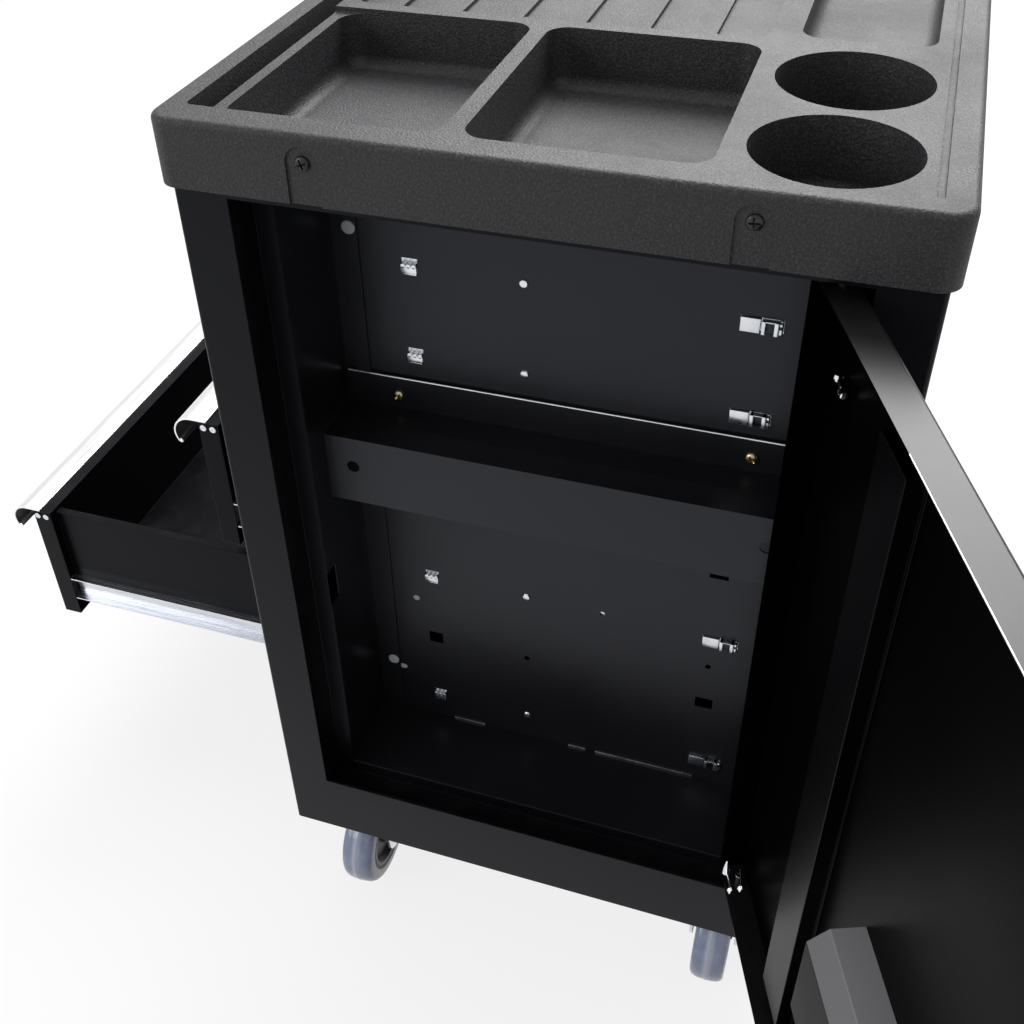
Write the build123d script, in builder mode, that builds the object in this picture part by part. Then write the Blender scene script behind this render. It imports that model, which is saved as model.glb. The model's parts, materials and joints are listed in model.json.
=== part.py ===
from build123d import *
import os
from math import atan2, cos, hypot, radians, sin

os.makedirs("parts", exist_ok=True)

# A steel rolling tool chest: a bank of five drawers, an end locker with a hinged door, a moulded
# plastic top tray and four casters. Millimetres, +Z up, floor at Z = 0, drawers facing -Y and
# the locker at the +X end. It stands with the door open, the bottom drawer right out and the
# second drawer part way out.
#
# Places on the cabinet are given as (in, back, up): in from the locker end, back from the drawer
# face, and up from the bottom edge of the sheet-metal body.

# ---------------------------------------------------------------- cabinet body
BODY_LENGTH = 762.0
BODY_DEPTH = 457.0
SHEET = 1.5
BEND = 3.0                      # outer radius of the body's corner bends
CORNER_RETURN = 12.0            # how far an end sheet wraps round onto the front and the back
PAN_RISE = 15.0                 # underside of the base pan above the bottom edge
PAN_FLANGE = 22.0

# ---------------------------------------------------------------- top tray
TRAY_OVERHANG = 10.0            # past the ends of the cabinet
TRAY_SIDE_OVERHANG = 5.0        # past its front and back
TRAY_WALL = 4.0
TRAY_DECK = 4.0
TRAY_SKIRT = 44.0
TRAY_CORNER = 14.0
TRAY_EDGE = 4.0
BODY_HEIGHT = 680.0             # the walls' top edges carry the tray's deck
BIN_WALL = 3.0
BIN_DRAFT = 3.0
BIN_CORNER = 15.0
BIN_FLOOR_RADIUS = 9.0
BIN_DEPTH = 40.0
TRAY_RIM = 13.0
NEAR_BIN_LENGTH = 187.0
FAR_BIN_LENGTH = 168.0
SLOT_BACK = 11.0
SLOT_WIDTH = 14.0
SLOT_DEPTH = 30.0
SLOT_LENGTH = 547.0
RIB_WIDTH = 7.5
RIB_DROP = 4.0
LEFT_BIN_WIDTH = 139.0
BIN_WEB = 12.0
MIDDLE_BIN_WIDTH = 142.0
CUP_RADIUS = 47.5
CUP_DEPTH = 46.0
CUP_BACK = 386.0
CUP_IN = 51.0
CUP_PITCH = 104.5
SHALLOW_DEPTH = 8.0
SHALLOW_LENGTH = 345.0
SHALLOW_RIB_WIDTH = 10.0
SHALLOW_RIB_HEIGHT = 3.0
SHALLOW_RIB_PITCH = 45.0
SIDE_BIN_BACK = 345.0
SIDE_BIN_WIDTH = 86.0
SIDE_BIN_DEPTH = 20.0
SIDE_BIN_IN = 221.0
SIDE_BIN_LENGTH = 249.0
GROOVE_BACK = 440.0
GROOVE_WIDTH = 4.5
GROOVE_DEPTH = 2.5
GROOVE_IN = 8.0

# ---------------------------------------------------------------- tray screws
SCREW_RADIUS = 2.5
SCREW_HOLE_PLAY = 0.1
SCREW_HEAD_RADIUS = 4.8
SCREW_HEAD_HEIGHT = 2.6
SCREW_HEAD_TAPER = 30.0
SCREW_LENGTH = 10.5
SCREW_UP = 666.0
TAB_RADIUS = 10.5
TAB_RECESS = 1.5
BOSS_HEIGHT = 30.0
END_SCREW_FRONT = 96.0
END_SCREW_BACK = 354.0
SIDE_SCREW_IN = 120.0

# ---------------------------------------------------------------- locker
POST_FRONT = 37.0               # width of the frame's front post on the locker end
POST_BACK = 37.0
SILL = 66.0                     # height of the rail under the locker door
LINTEL = 632.0                  # underside of the rail over the locker door
RECESS = 28.5                   # depth of the frame that the door closes into
TRENCH = 53.0                   # floor of the gutter behind the sill
STOP_WIDTH = 14.0               # how far the frame's stop stands in behind the door
STOP_DROP = 10.0
PARTITION_IN = 102.5            # locker's back wall
PARTITION_TOP = 631.0
JOGGLE_BACK = 60.0
JOGGLE_WIDTH = 12.0
JOGGLE_STEP = 2.0
SHELF_IN = 50.0
SHELF_UP = 421.0
SHELF_FLANGE = 60.0
SHELF_BACK_FLANGE = 26.0
SHELF_SHEET = 1.2
SHELF_LAP_IN = 74.0
SHELF_LAP = 5.0
SHELF_PLAY = 2.5
SHELF_HOLE_RADIUS = 5.0
SHELF_HOLE_DROP = 26.0
SHELF_HOLE_INSET = 21.0
SHELF_SCREW_INSET = 43.0
SHELF_SCREW_RISE = 10.0
STRIP_HOLE_RADIUS = 4.5
STRIP_HOLE_LOW = 130.0
STRIP_HOLE_HIGH = 567.0
PUNCH_RADIUS = 2.5
PUNCHED_HOLES = [(93.0, 214.0), (258.0, 243.0), (348.0, 209.0)]
LATCH_SLOT_HEIGHT = 34.0
LATCH_SLOT_DEPTH = 14.0

# ---------------------------------------------------------------- locker door
DOOR_OPEN = 111.5               # degrees the door stands open
DOOR_AXIS_IN = 9.0
DOOR_AXIS_EDGE = 15.0           # hinge axis to the door's hinge-side edge
DOOR_GAP = 2.5
DOOR_THICKNESS = 21.0
DOOR_SHEET = 1.2
DOOR_BEND = 2.5
DOOR_FACE_SETBACK = 0.5
DOOR_TOP_GAP = 1.5              # under the top hinge plate
DOOR_BOTTOM_GAP = 15.0          # door's bottom edge above the gutter
PIN_RADIUS = 3.0
PIN_CLEARANCE = 0.06
PIN_REACH = 9.0
PIN_COLLAR_RADIUS = 5.5
PIN_RUNNING_GAP = 0.3
HINGE_PLATE = 1.5
HINGE_PLATE_LENGTH = 30.0
STIFFENER_TO_CUP = 56.0
STIFFENER_WIDTH = 39.0
STIFFENER_DEPTH = 12.0
STIFFENER_FLANGE = 6.0
STIFFENER_LIP = 2.0
STIFFENER_END_GAP = 27.0
HANDLE_CUP_TO_LOCK = 22.0       # the cup's edge to the lock's centre
HANDLE_CUP_LENGTH = 116.0
HANDLE_CUP_HEIGHT = 84.0
HANDLE_CUP_TOP = 320.0
HANDLE_CUP_DEPTH = 34.0
HANDLE_CUP_SLOPE = 12.0
HANDLE_CUP_WALL = 2.5
HANDLE_CUP_RIM = 6.0
HANDLE_LIP = 26.0
LOCK_RADIUS = 9.5
LOCK_FLANGE_RADIUS = 12.0
LOCK_FLANGE = 2.5
LOCK_BARREL_LENGTH = 30.5
LOCK_CLEARANCE = 0.08
LOCK_FROM_EDGE = 33.0
CAM_WIDTH = 14.0
CAM_THICKNESS = 2.5
CAM_REACH = 43.0
DRAWER_CAM_REACH = 18.0

# ---------------------------------------------------------------- drawers
DRAWER_PITCH = 74.5             # one unit of front height
DRAWER_UNITS = [2, 2, 1, 1, 1]  # bottom drawer first
DRAWER_OUT = [304.0, 97.0, 0.0, 0.0, 0.0]
BANK_BOTTOM = 76.0
BANK_WIDTH = 634.0              # between the two slide mounting faces
BANK_RETURN = 16.0
BANK_RETURN_IN = 2.0            # frame return's face from the slide mounting face
FRONT_GAP = 15.0                # finger gap over each front
FRONT_PLAY = 2.0
FRONT_THICKNESS = 18.0
FRONT_SHEET = 1.2
BANK_GAP = 2.0                  # under the bottom front
BOX_SHEET = 1.2
BOX_RISE = 22.0
BOX_DROP = 5.0
HEM_WIDTH = 8.0
HEM_HEIGHT = 6.0
PULL_SHEET = 1.6
PULL_BEHIND = 8.0
PULL_FLAT = 8.0
PULL_RADIUS = 17.0
PULL_CURL = 125.0
RIVET_RADIUS = 2.5
RIVET_HEAD_RADIUS = 3.0
RIVET_HEAD = 1.0
RIVET_PITCH = 9.0
RIVET_INSET = 5.0
SLIDE_START = 20.0
SLIDE_END_GAP = 37.0            # slides' ends to the outside of the back
SLIDE_THICKNESS = 12.7
SLIDE_HEIGHT = 35.0
SLIDE_INNER_HEIGHT = 27.0
SLIDE_SHEET = 1.2
SLIDE_FLANGE = 6.0
SLIDE_PLAY = 3.4
BALL_CAGE_LENGTH = 110.0
BALL_PLAY = 0.3
SLIDE_RISE = 36.0               # slide centre above the bottom of its drawer front
HOOK_DROP = 17.0
HOOK_BACK = 109.0
HOOK_SIZE = 12.0
HOOK_PROUD = 2.0
SLIDE_SCREW_BACK = 193.0
CLIP_FROM_END = 79.0            # clip to the slides' back ends
CLIP_DROP = 5.0                 # below the hooks
CLIP_LENGTH = 14.0
CLIP_HEIGHT = 11.0
CLIP_STEP = 4.0
CLIP_BUMP = 4.7
CLIP_TIP_HEIGHT = 8.8
SLIDE_SCREW_HEAD_RADIUS = 3.4
SLIDE_SCREW_HEAD = 1.6
MOUNT_DROP = 30.0               # slides' mounting strips below their centres
FIXING_PLAY = 0.3
POST_DEPTH = 40.0
DRAWER_LOCK_IN = 690.0
DRAWER_LOCK_DROP = 64.0         # lock's centre below the top of the walls

# ---------------------------------------------------------------- push handle
HANDLE_RADIUS = 12.5
HANDLE_WALL = 2.0
HANDLE_REACH = 70.0
HANDLE_SPAN = 330.0
HANDLE_BEND = 38.0
HANDLE_UP = 590.0
HANDLE_FLANGE_RADIUS = 27.0
HANDLE_FLANGE = 4.0
HANDLE_BOLT_RADIUS = 3.0
HANDLE_BOLT_CIRCLE = 19.0

# ---------------------------------------------------------------- casters
CASTER_HEIGHT = 130.0
WHEEL_RADIUS = 50.8
WHEEL_WIDTH = 30.0
WHEEL_CROWN = 3.0
HUB_RADIUS = 37.0
HUB_WIDTH = 33.0
HUB_BOSS_RADIUS = 11.0
HUB_DISH = 6.0
HUB_DISH_TAPER = 12.0
AXLE_RADIUS = 4.0
AXLE_CLEARANCE = 0.08
FORK_SHEET = 3.0
FORK_PLAY = 2.5                 # between the hub's end and each fork leg
FORK_TOP = 54.0
FORK_FOOT_RADIUS = 15.0
PLATE_LENGTH = 95.0
PLATE_WIDTH = 67.0
PLATE_THICKNESS = 3.0
PLATE_CORNER = 8.0
PLATE_BOLT_X = 75.0
PLATE_BOLT_Y = 45.0
BOLT_RADIUS = 4.0
BOLT_HOLE_PLAY = 0.3
BOLT_HEAD = 5.0
BOLT_ACROSS = 7.5               # corner radius of the hexagon
WASHER = 1.0
RIGID_IN = 50.0
RIGID_FRONT = 52.0
RIGID_REAR = 68.0
SWIVEL_IN = 60.0                # kingpin in from the handle end
SWIVEL_BACK = 60.0
SWIVEL_LEAD = 34.0
SWIVEL_GAP = 0.3
CROWN_RADIUS = 28.0
CROWN_HEIGHT = 9.0
KINGPIN_RADIUS = 6.0
KINGPIN_CLEARANCE = 0.06
KINGPIN_NUT_RADIUS = 9.0
KINGPIN_NUT = 4.0
PEDAL_OUT = 40.0
PEDAL_UP = 47.0
PEDAL_BARREL = 4.5
PEDAL_PIN = 2.5
PEDAL_CLEARANCE = 0.06
PEDAL_LENGTH = 32.0
PEDAL_WIDTH = 34.0
PEDAL_SHEET = 3.0
PEDAL_TILT = 8.0
PEDAL_PRESS = 20.0              # degrees the pedal goes down to brake
SHOE_GAP = 0.3                  # left between shoe and tread with the pedal down

# ---------------------------------------------------------------- worked-out places
Z_BODY = CASTER_HEIGHT - PAN_RISE
TRAY_TOP = BODY_HEIGHT + TRAY_DECK
SLIDE_NEAR = PARTITION_IN + SHEET
SLIDE_FAR = SLIDE_NEAR + BANK_WIDTH
BANK_TOP = BANK_BOTTOM + DRAWER_PITCH * sum(DRAWER_UNITS)
slide_length = BODY_DEPTH - SLIDE_START - SLIDE_END_GAP
clip_back = SLIDE_START + slide_length - CLIP_FROM_END

door_width = (BODY_DEPTH - POST_FRONT - POST_BACK) - 2 * DOOR_GAP
door_axis_back = BODY_DEPTH - POST_BACK - DOOR_GAP - DOOR_AXIS_EDGE
door_reach = door_width - DOOR_AXIS_EDGE
door_outer = DOOR_AXIS_IN - DOOR_FACE_SETBACK
door_inner = DOOR_THICKNESS - door_outer
door_angle = radians(DOOR_OPEN - 90)
door_tip_out = door_reach * cos(door_angle) + door_inner * sin(door_angle) - DOOR_AXIS_IN
door_tip_back = door_axis_back + door_reach * sin(door_angle) + door_outer * cos(door_angle)
handle_out = HANDLE_REACH + HANDLE_RADIUS
pull_out = max(DRAWER_OUT) + PULL_FLAT + PULL_RADIUS

# The origin is under the middle of everything that shows in this pose.
X_NEAR = (BODY_LENGTH + handle_out - door_tip_out) / 2
X_FAR = X_NEAR - BODY_LENGTH
X_MID = (X_NEAR + X_FAR) / 2
Y_FRONT = (pull_out - max(door_tip_back, BODY_DEPTH + TRAY_SIDE_OVERHANG)) / 2
Y_BACK = Y_FRONT + BODY_DEPTH
Y_MID = (Y_FRONT + Y_BACK) / 2

DOOR = Plane(
    origin=(X_NEAR - DOOR_AXIS_IN, Y_FRONT + door_axis_back, Z_BODY),
    x_dir=(cos(door_angle), sin(door_angle), 0),
    z_dir=(0, 0, 1),
)


def place(inward, back, up):
    """A point of the cabinet as a point of the model."""
    return (X_NEAR - inward, Y_FRONT + back, Z_BODY + up)


def slab(inward, back, up, mode=Mode.ADD):
    """A square-edged block between pairs of (in, back, up) limits."""
    low = place(inward[1], back[0], up[0])
    high = place(inward[0], back[1], up[1])
    size = [b - a for a, b in zip(low, high)]
    with Locations(tuple((a + b) / 2 for a, b in zip(low, high))):
        Box(*size, mode=mode)


def rod(centre, axis, radius, length, mode=Mode.ADD):
    """A round bar that starts at a point and runs along an axis."""
    with Locations(Plane(origin=centre, z_dir=axis)):
        Cylinder(radius, length, align=(Align.CENTER, Align.CENTER, Align.MIN), mode=mode)


def hexagon(centre, axis, corner, length, mode=Mode.ADD):
    with BuildSketch(Plane(origin=centre, z_dir=axis)) as outline:
        RegularPolygon(corner, 6)
    extrude(outline.sketch, amount=length, mode=mode)


def finish(part, name):
    """Label a finished piece and write it as a STEP file of its own."""
    part.label = name
    export_step(part, f"parts/{name}.step")


# ================================================================ top tray
left_bin_back = SLOT_BACK + SLOT_WIDTH + RIB_WIDTH
middle_bin_back = left_bin_back + LEFT_BIN_WIDTH + BIN_WEB
middle_bin_end = middle_bin_back + MIDDLE_BIN_WIDTH
shallow_in = TRAY_RIM + NEAR_BIN_LENGTH + BIN_WEB
far_bin_in = BODY_LENGTH - TRAY_RIM - FAR_BIN_LENGTH
side_bin_2_in = SIDE_BIN_IN + SIDE_BIN_LENGTH + BIN_WEB
shallow_length = min(SHALLOW_LENGTH, far_bin_in - BIN_WEB - shallow_in)
slot_length = min(SLOT_LENGTH, far_bin_in - BIN_WEB - TRAY_RIM)

# Each bin: (in, length), (back, width), depth, corner radius, floor radius.
bins = {
    "ledge": ((TRAY_RIM, NEAR_BIN_LENGTH), (SLOT_BACK, left_bin_back + LEFT_BIN_WIDTH - SLOT_BACK),
              RIB_DROP, BIN_CORNER, RIB_DROP / 4),
    "slot": ((TRAY_RIM, slot_length), (SLOT_BACK, SLOT_WIDTH), SLOT_DEPTH, SLOT_WIDTH / 3, SLOT_WIDTH / 8),
    "left": ((TRAY_RIM, NEAR_BIN_LENGTH), (left_bin_back, LEFT_BIN_WIDTH), BIN_DEPTH, BIN_CORNER,
             BIN_FLOOR_RADIUS),
    "middle": ((TRAY_RIM, NEAR_BIN_LENGTH), (middle_bin_back, MIDDLE_BIN_WIDTH), BIN_DEPTH, BIN_CORNER,
               BIN_FLOOR_RADIUS),
    "shallow": ((shallow_in, shallow_length), (left_bin_back, middle_bin_end - left_bin_back),
                SHALLOW_DEPTH, BIN_CORNER, SHALLOW_DEPTH / 4),
    "side_1": ((SIDE_BIN_IN, SIDE_BIN_LENGTH), (SIDE_BIN_BACK, SIDE_BIN_WIDTH), SIDE_BIN_DEPTH,
               BIN_CORNER, BIN_FLOOR_RADIUS),
    "side_2": ((side_bin_2_in, BODY_LENGTH - TRAY_RIM - side_bin_2_in), (SIDE_BIN_BACK, SIDE_BIN_WIDTH),
               SIDE_BIN_DEPTH, BIN_CORNER, BIN_FLOOR_RADIUS),
    "far_left": ((far_bin_in, FAR_BIN_LENGTH), (SLOT_BACK, left_bin_back + LEFT_BIN_WIDTH - SLOT_BACK),
                 BIN_DEPTH, BIN_CORNER, BIN_FLOOR_RADIUS),
    "far_middle": ((far_bin_in, FAR_BIN_LENGTH), (middle_bin_back, MIDDLE_BIN_WIDTH), BIN_DEPTH,
                   BIN_CORNER, BIN_FLOOR_RADIUS),
}


def bin_form(inward, back, depth, corner, floor_radius, grow=0.0):
    """The hollow of one bin, or its outside when grown by a wall."""
    centre = place(inward[0] + inward[1] / 2, back[0] + back[1] / 2, TRAY_TOP)
    with BuildPart() as form:
        with BuildSketch(Plane.XY.offset(centre[2])):
            with Locations(centre[:2]):
                RectangleRounded(inward[1] + 2 * grow, back[1] + 2 * grow, corner + grow)
        extrude(amount=-(depth + grow), taper=BIN_DRAFT)
        fillet(form.faces().sort_by(Axis.Z)[0].edges(), floor_radius + grow)
    return form.part


def cup_form(inward, grow=0.0):
    """The hollow of one cup holder, or its outside when grown by a wall."""
    centre = place(inward, CUP_BACK, TRAY_TOP)
    with BuildPart() as form:
        with BuildSketch(Plane.XY.offset(centre[2])):
            with Locations(centre[:2]):
                Circle(CUP_RADIUS + grow)
        extrude(amount=-(CUP_DEPTH + grow), taper=BIN_DRAFT / 2)
        fillet(form.faces().sort_by(Axis.Z)[0].edges(), BIN_FLOOR_RADIUS + grow)
    return form.part


cup_places = [CUP_IN, CUP_IN + CUP_PITCH]
hollows = [bin_form(*spec) for spec in bins.values()] + [cup_form(c) for c in cup_places]
shells = [bin_form(*spec, grow=BIN_WALL) for spec in bins.values()]
shells += [cup_form(c, grow=BIN_WALL) for c in cup_places]

# Screws that hold the skirt to the walls: (point on the wall, outward axis).
tray_screw_places = [(place(0, b, SCREW_UP), (1, 0, 0)) for b in (END_SCREW_FRONT, END_SCREW_BACK)]
tray_screw_places += [
    (place(BODY_LENGTH, b, SCREW_UP), (-1, 0, 0)) for b in (END_SCREW_FRONT, END_SCREW_BACK)
]
for screw_in in (SIDE_SCREW_IN, BODY_LENGTH - SIDE_SCREW_IN):
    tray_screw_places.append((place(screw_in, 0, SCREW_UP), (0, -1, 0)))
    tray_screw_places.append((place(screw_in, BODY_DEPTH, SCREW_UP), (0, 1, 0)))
screw_hole = SCREW_RADIUS + SCREW_HOLE_PLAY


def wall_plane(point, outward):
    """A plane on a vertical wall, with its X level, its Y up and its Z outward."""
    return Plane(origin=point, x_dir=(-outward[1], outward[0], 0), z_dir=outward)


def overhang(outward):
    """How far the tray stands past the wall that faces this way."""
    return TRAY_OVERHANG if outward[0] else TRAY_SIDE_OVERHANG


with BuildPart() as top_tray:
    with BuildSketch(Plane.XY.offset(Z_BODY + TRAY_TOP)):
        with Locations((X_MID, Y_MID)):
            RectangleRounded(
                BODY_LENGTH + 2 * TRAY_OVERHANG, BODY_DEPTH + 2 * TRAY_SIDE_OVERHANG, TRAY_CORNER
            )
    extrude(amount=-TRAY_SKIRT)
    fillet(top_tray.faces().sort_by(Axis.Z)[-1].edges(), TRAY_EDGE)
    end_inside = TRAY_OVERHANG - TRAY_WALL
    side_inside = TRAY_SIDE_OVERHANG - TRAY_WALL
    with BuildSketch(Plane.XY.offset(Z_BODY + TRAY_TOP - TRAY_SKIRT)):
        with Locations((X_MID, Y_MID)):
            RectangleRounded(
                BODY_LENGTH + 2 * end_inside, BODY_DEPTH + 2 * side_inside, TRAY_CORNER - TRAY_WALL
            )
    extrude(amount=TRAY_SKIRT - TRAY_DECK, mode=Mode.SUBTRACT)
    add(shells)
    add(hollows, mode=Mode.SUBTRACT)
    # raised ribs on the floor of the shallow tray
    rib_back = left_bin_back + SHALLOW_RIB_PITCH / 2
    while rib_back + SHALLOW_RIB_WIDTH < middle_bin_end - BIN_CORNER / 2:
        slab(
            (shallow_in + BIN_CORNER / 2, shallow_in + shallow_length - BIN_CORNER / 2),
            (rib_back, rib_back + SHALLOW_RIB_WIDTH),
            (TRAY_TOP - SHALLOW_DEPTH, TRAY_TOP - SHALLOW_DEPTH + SHALLOW_RIB_HEIGHT),
        )
        rib_back += SHALLOW_RIB_PITCH
    slab(
        (GROOVE_IN, BODY_LENGTH - GROOVE_IN),
        (GROOVE_BACK, GROOVE_BACK + GROOVE_WIDTH),
        (TRAY_TOP - GROOVE_DEPTH, TRAY_TOP + TRAY_DECK),
        mode=Mode.SUBTRACT,
    )
    # pads behind the screws, then the round-topped recesses in front of them
    for point, outward in tray_screw_places:
        face = wall_plane(point, outward)
        with BuildSketch(face):
            with Locations((0, 0)):
                Rectangle(2 * (TAB_RADIUS + TRAY_WALL), BOSS_HEIGHT)
        extrude(amount=overhang(outward) - TAB_RECESS)
        skirt_bottom = Z_BODY + TRAY_TOP - TRAY_SKIRT - point[2]
        with BuildSketch(face.offset(overhang(outward) - TAB_RECESS)):
            Circle(TAB_RADIUS)
            with Locations((0, skirt_bottom / 2)):
                Rectangle(2 * TAB_RADIUS, -skirt_bottom)
        extrude(amount=TAB_RECESS, mode=Mode.SUBTRACT)
        rod(point, outward, screw_hole, overhang(outward), mode=Mode.SUBTRACT)
finish(top_tray.part, "top_tray")

with BuildPart() as tray_screws:
    for point, outward in tray_screw_places:
        head = Vector(*point) + Vector(*outward) * (overhang(outward) - TAB_RECESS)
        with BuildSketch(Plane(origin=head, z_dir=outward)):
            Circle(SCREW_HEAD_RADIUS)
        extrude(amount=SCREW_HEAD_HEIGHT, taper=SCREW_HEAD_TAPER)
        tip = head - Vector(*outward) * SCREW_LENGTH
        rod(tip, outward, SCREW_RADIUS, SCREW_LENGTH)
finish(tray_screws.part, "tray_screws")


# ================================================================ body sheets
def drill_tray_screws():
    """Screw holes through whichever wall is being made."""
    for point, outward in tray_screw_places:
        start = Vector(*point) - Vector(*outward) * (RECESS / 2)
        rod(start, outward, screw_hole, RECESS, mode=Mode.SUBTRACT)


def end_sheet(inward):
    """An end wall with its rounded corners wrapped onto the front and the back."""
    with BuildSketch(Plane.XY.offset(Z_BODY)) as outline:
        with Locations((X_MID, Y_MID)):
            RectangleRounded(BODY_LENGTH, BODY_DEPTH, BEND)
            RectangleRounded(
                BODY_LENGTH - 2 * SHEET, BODY_DEPTH - 2 * SHEET, BEND - SHEET, mode=Mode.SUBTRACT
            )
        with Locations((X_NEAR - (inward[0] + inward[1]) / 2, Y_MID)):
            Rectangle(inward[1] - inward[0], BODY_DEPTH, mode=Mode.INTERSECT)
    extrude(outline.sketch, amount=BODY_HEIGHT)


stop_front = POST_FRONT + STOP_WIDTH
stop_back = BODY_DEPTH - POST_BACK - STOP_WIDTH

with BuildPart() as locker_frame:
    end_sheet((0, CORNER_RETURN))
    slab((-SHEET, SHEET), (POST_FRONT, BODY_DEPTH - POST_BACK), (SILL, LINTEL), mode=Mode.SUBTRACT)
    # the frame's four returns, the stops behind them and the gutter behind the sill
    slab((SHEET, RECESS), (POST_FRONT - SHEET, POST_FRONT), (TRENCH - SHEET, LINTEL + SHEET))
    slab((SHEET, RECESS), (BODY_DEPTH - POST_BACK, BODY_DEPTH - POST_BACK + SHEET),
         (TRENCH - SHEET, LINTEL + SHEET))
    slab((SHEET, RECESS), (POST_FRONT, BODY_DEPTH - POST_BACK), (LINTEL, LINTEL + SHEET))
    slab((SHEET, RECESS), (POST_FRONT, BODY_DEPTH - POST_BACK), (TRENCH - SHEET, TRENCH))
    slab((SHEET, 2 * SHEET), (POST_FRONT, BODY_DEPTH - POST_BACK), (TRENCH, SILL))
    stop = (RECESS, RECESS + SHEET)
    slab(stop, (POST_FRONT - SHEET, stop_front), (TRENCH - SHEET, LINTEL + SHEET))
    slab(stop, (stop_back, BODY_DEPTH - POST_BACK + SHEET), (TRENCH - SHEET, LINTEL + SHEET))
    slab(stop, (stop_front, stop_back), (LINTEL - STOP_DROP, LINTEL + SHEET))
    slab(stop, (stop_front, stop_back), (TRENCH - SHEET, SILL - SHEET))
    # notch that lets the cup holder down inside the wall
    rod(place(CUP_IN, CUP_BACK, TRAY_TOP - CUP_DEPTH - BIN_WALL - FIXING_PLAY), (0, 0, 1),
        CUP_RADIUS + BIN_WALL + FIXING_PLAY, CUP_DEPTH + TRAY_SKIRT, mode=Mode.SUBTRACT)
    drill_tray_screws()
finish(locker_frame.part, "locker_frame")

with BuildPart() as back_panel:
    slab((CORNER_RETURN, BODY_LENGTH - CORNER_RETURN), (BODY_DEPTH - SHEET, BODY_DEPTH), (0, BODY_HEIGHT))
    drill_tray_screws()
finish(back_panel.part, "back_panel")

handle_feet = [BODY_DEPTH / 2 - HANDLE_SPAN / 2, BODY_DEPTH / 2 + HANDLE_SPAN / 2]
handle_bolts = [
    (foot, dy, dz)
    for foot in handle_feet
    for dy, dz in ((0, HANDLE_BOLT_CIRCLE), (0, -HANDLE_BOLT_CIRCLE))
]

with BuildPart() as far_end_panel:
    end_sheet((BODY_LENGTH - CORNER_RETURN, BODY_LENGTH))
    # two upright channels that carry the far slides
    channel_up = (PAN_RISE + PAN_FLANGE, BODY_HEIGHT - TRAY_SKIRT)
    for start in (SLIDE_START, SLIDE_START + slide_length - POST_DEPTH):
        for edge in (start, start + POST_DEPTH - SHEET):
            slab((SLIDE_FAR, BODY_LENGTH - SHEET), (edge, edge + SHEET), channel_up)
        slab((SLIDE_FAR, SLIDE_FAR + SHEET), (start, start + POST_DEPTH), channel_up)
    for foot, dy, dz in handle_bolts:
        rod(place(BODY_LENGTH, foot + dy, HANDLE_UP + dz), (1, 0, 0), HANDLE_BOLT_RADIUS + SCREW_HOLE_PLAY,
            SHEET, mode=Mode.SUBTRACT)
    drill_tray_screws()
finish(far_end_panel.part, "far_end_panel")

bank_near = SLIDE_NEAR + BANK_RETURN_IN
bank_far = SLIDE_FAR - BANK_RETURN_IN
lock_up = BODY_HEIGHT - DRAWER_LOCK_DROP

with BuildPart() as drawer_front_frame:
    slab((CORNER_RETURN, BODY_LENGTH - CORNER_RETURN), (0, SHEET), (0, BODY_HEIGHT))
    slab((bank_near, bank_far), (0, SHEET), (BANK_BOTTOM - BANK_GAP, BANK_TOP), mode=Mode.SUBTRACT)
    # returns round the drawer opening
    for edge in ((bank_near - SHEET, bank_near), (bank_far, bank_far + SHEET)):
        slab(edge, (SHEET, BANK_RETURN), (BANK_BOTTOM - BANK_GAP - SHEET, BANK_TOP + SHEET))
    for edge in ((BANK_BOTTOM - BANK_GAP - SHEET, BANK_BOTTOM - BANK_GAP), (BANK_TOP, BANK_TOP + SHEET)):
        slab((bank_near, bank_far), (SHEET, BANK_RETURN), edge)
    rod(place(DRAWER_LOCK_IN, 0, lock_up), (0, 1, 0), LOCK_RADIUS + LOCK_CLEARANCE, SHEET,
        mode=Mode.SUBTRACT)
    drill_tray_screws()
finish(drawer_front_frame.part, "drawer_front_frame")

# casters: name, kingpin or plate centre, in and back
rigid_places = [(RIGID_IN, RIGID_FRONT), (RIGID_IN, BODY_DEPTH - RIGID_REAR)]
swivel_places = [
    (BODY_LENGTH - SWIVEL_IN, SWIVEL_BACK),
    (BODY_LENGTH - SWIVEL_IN, BODY_DEPTH - SWIVEL_BACK),
]
plate_bolts = [
    (inward + dx, back + dy)
    for inward, back in rigid_places + swivel_places
    for dx in (-PLATE_BOLT_X / 2, PLATE_BOLT_X / 2)
    for dy in (-PLATE_BOLT_Y / 2, PLATE_BOLT_Y / 2)
]

with BuildPart() as base_pan:
    with BuildSketch(Plane.XY.offset(Z_BODY + PAN_RISE)):
        with Locations((X_MID, Y_MID)):
            RectangleRounded(BODY_LENGTH - 2 * SHEET, BODY_DEPTH - 2 * SHEET, BEND - SHEET)
    extrude(amount=PAN_FLANGE)
    slab((2 * SHEET, BODY_LENGTH - 2 * SHEET), (2 * SHEET, BODY_DEPTH - 2 * SHEET),
         (PAN_RISE + SHEET, PAN_RISE + PAN_FLANGE), mode=Mode.SUBTRACT)
    for inward, back in plate_bolts:
        rod(place(inward, back, 0), (0, 0, 1), BOLT_RADIUS + BOLT_HOLE_PLAY, SILL, mode=Mode.SUBTRACT)
finish(base_pan.part, "base_pan")

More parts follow.
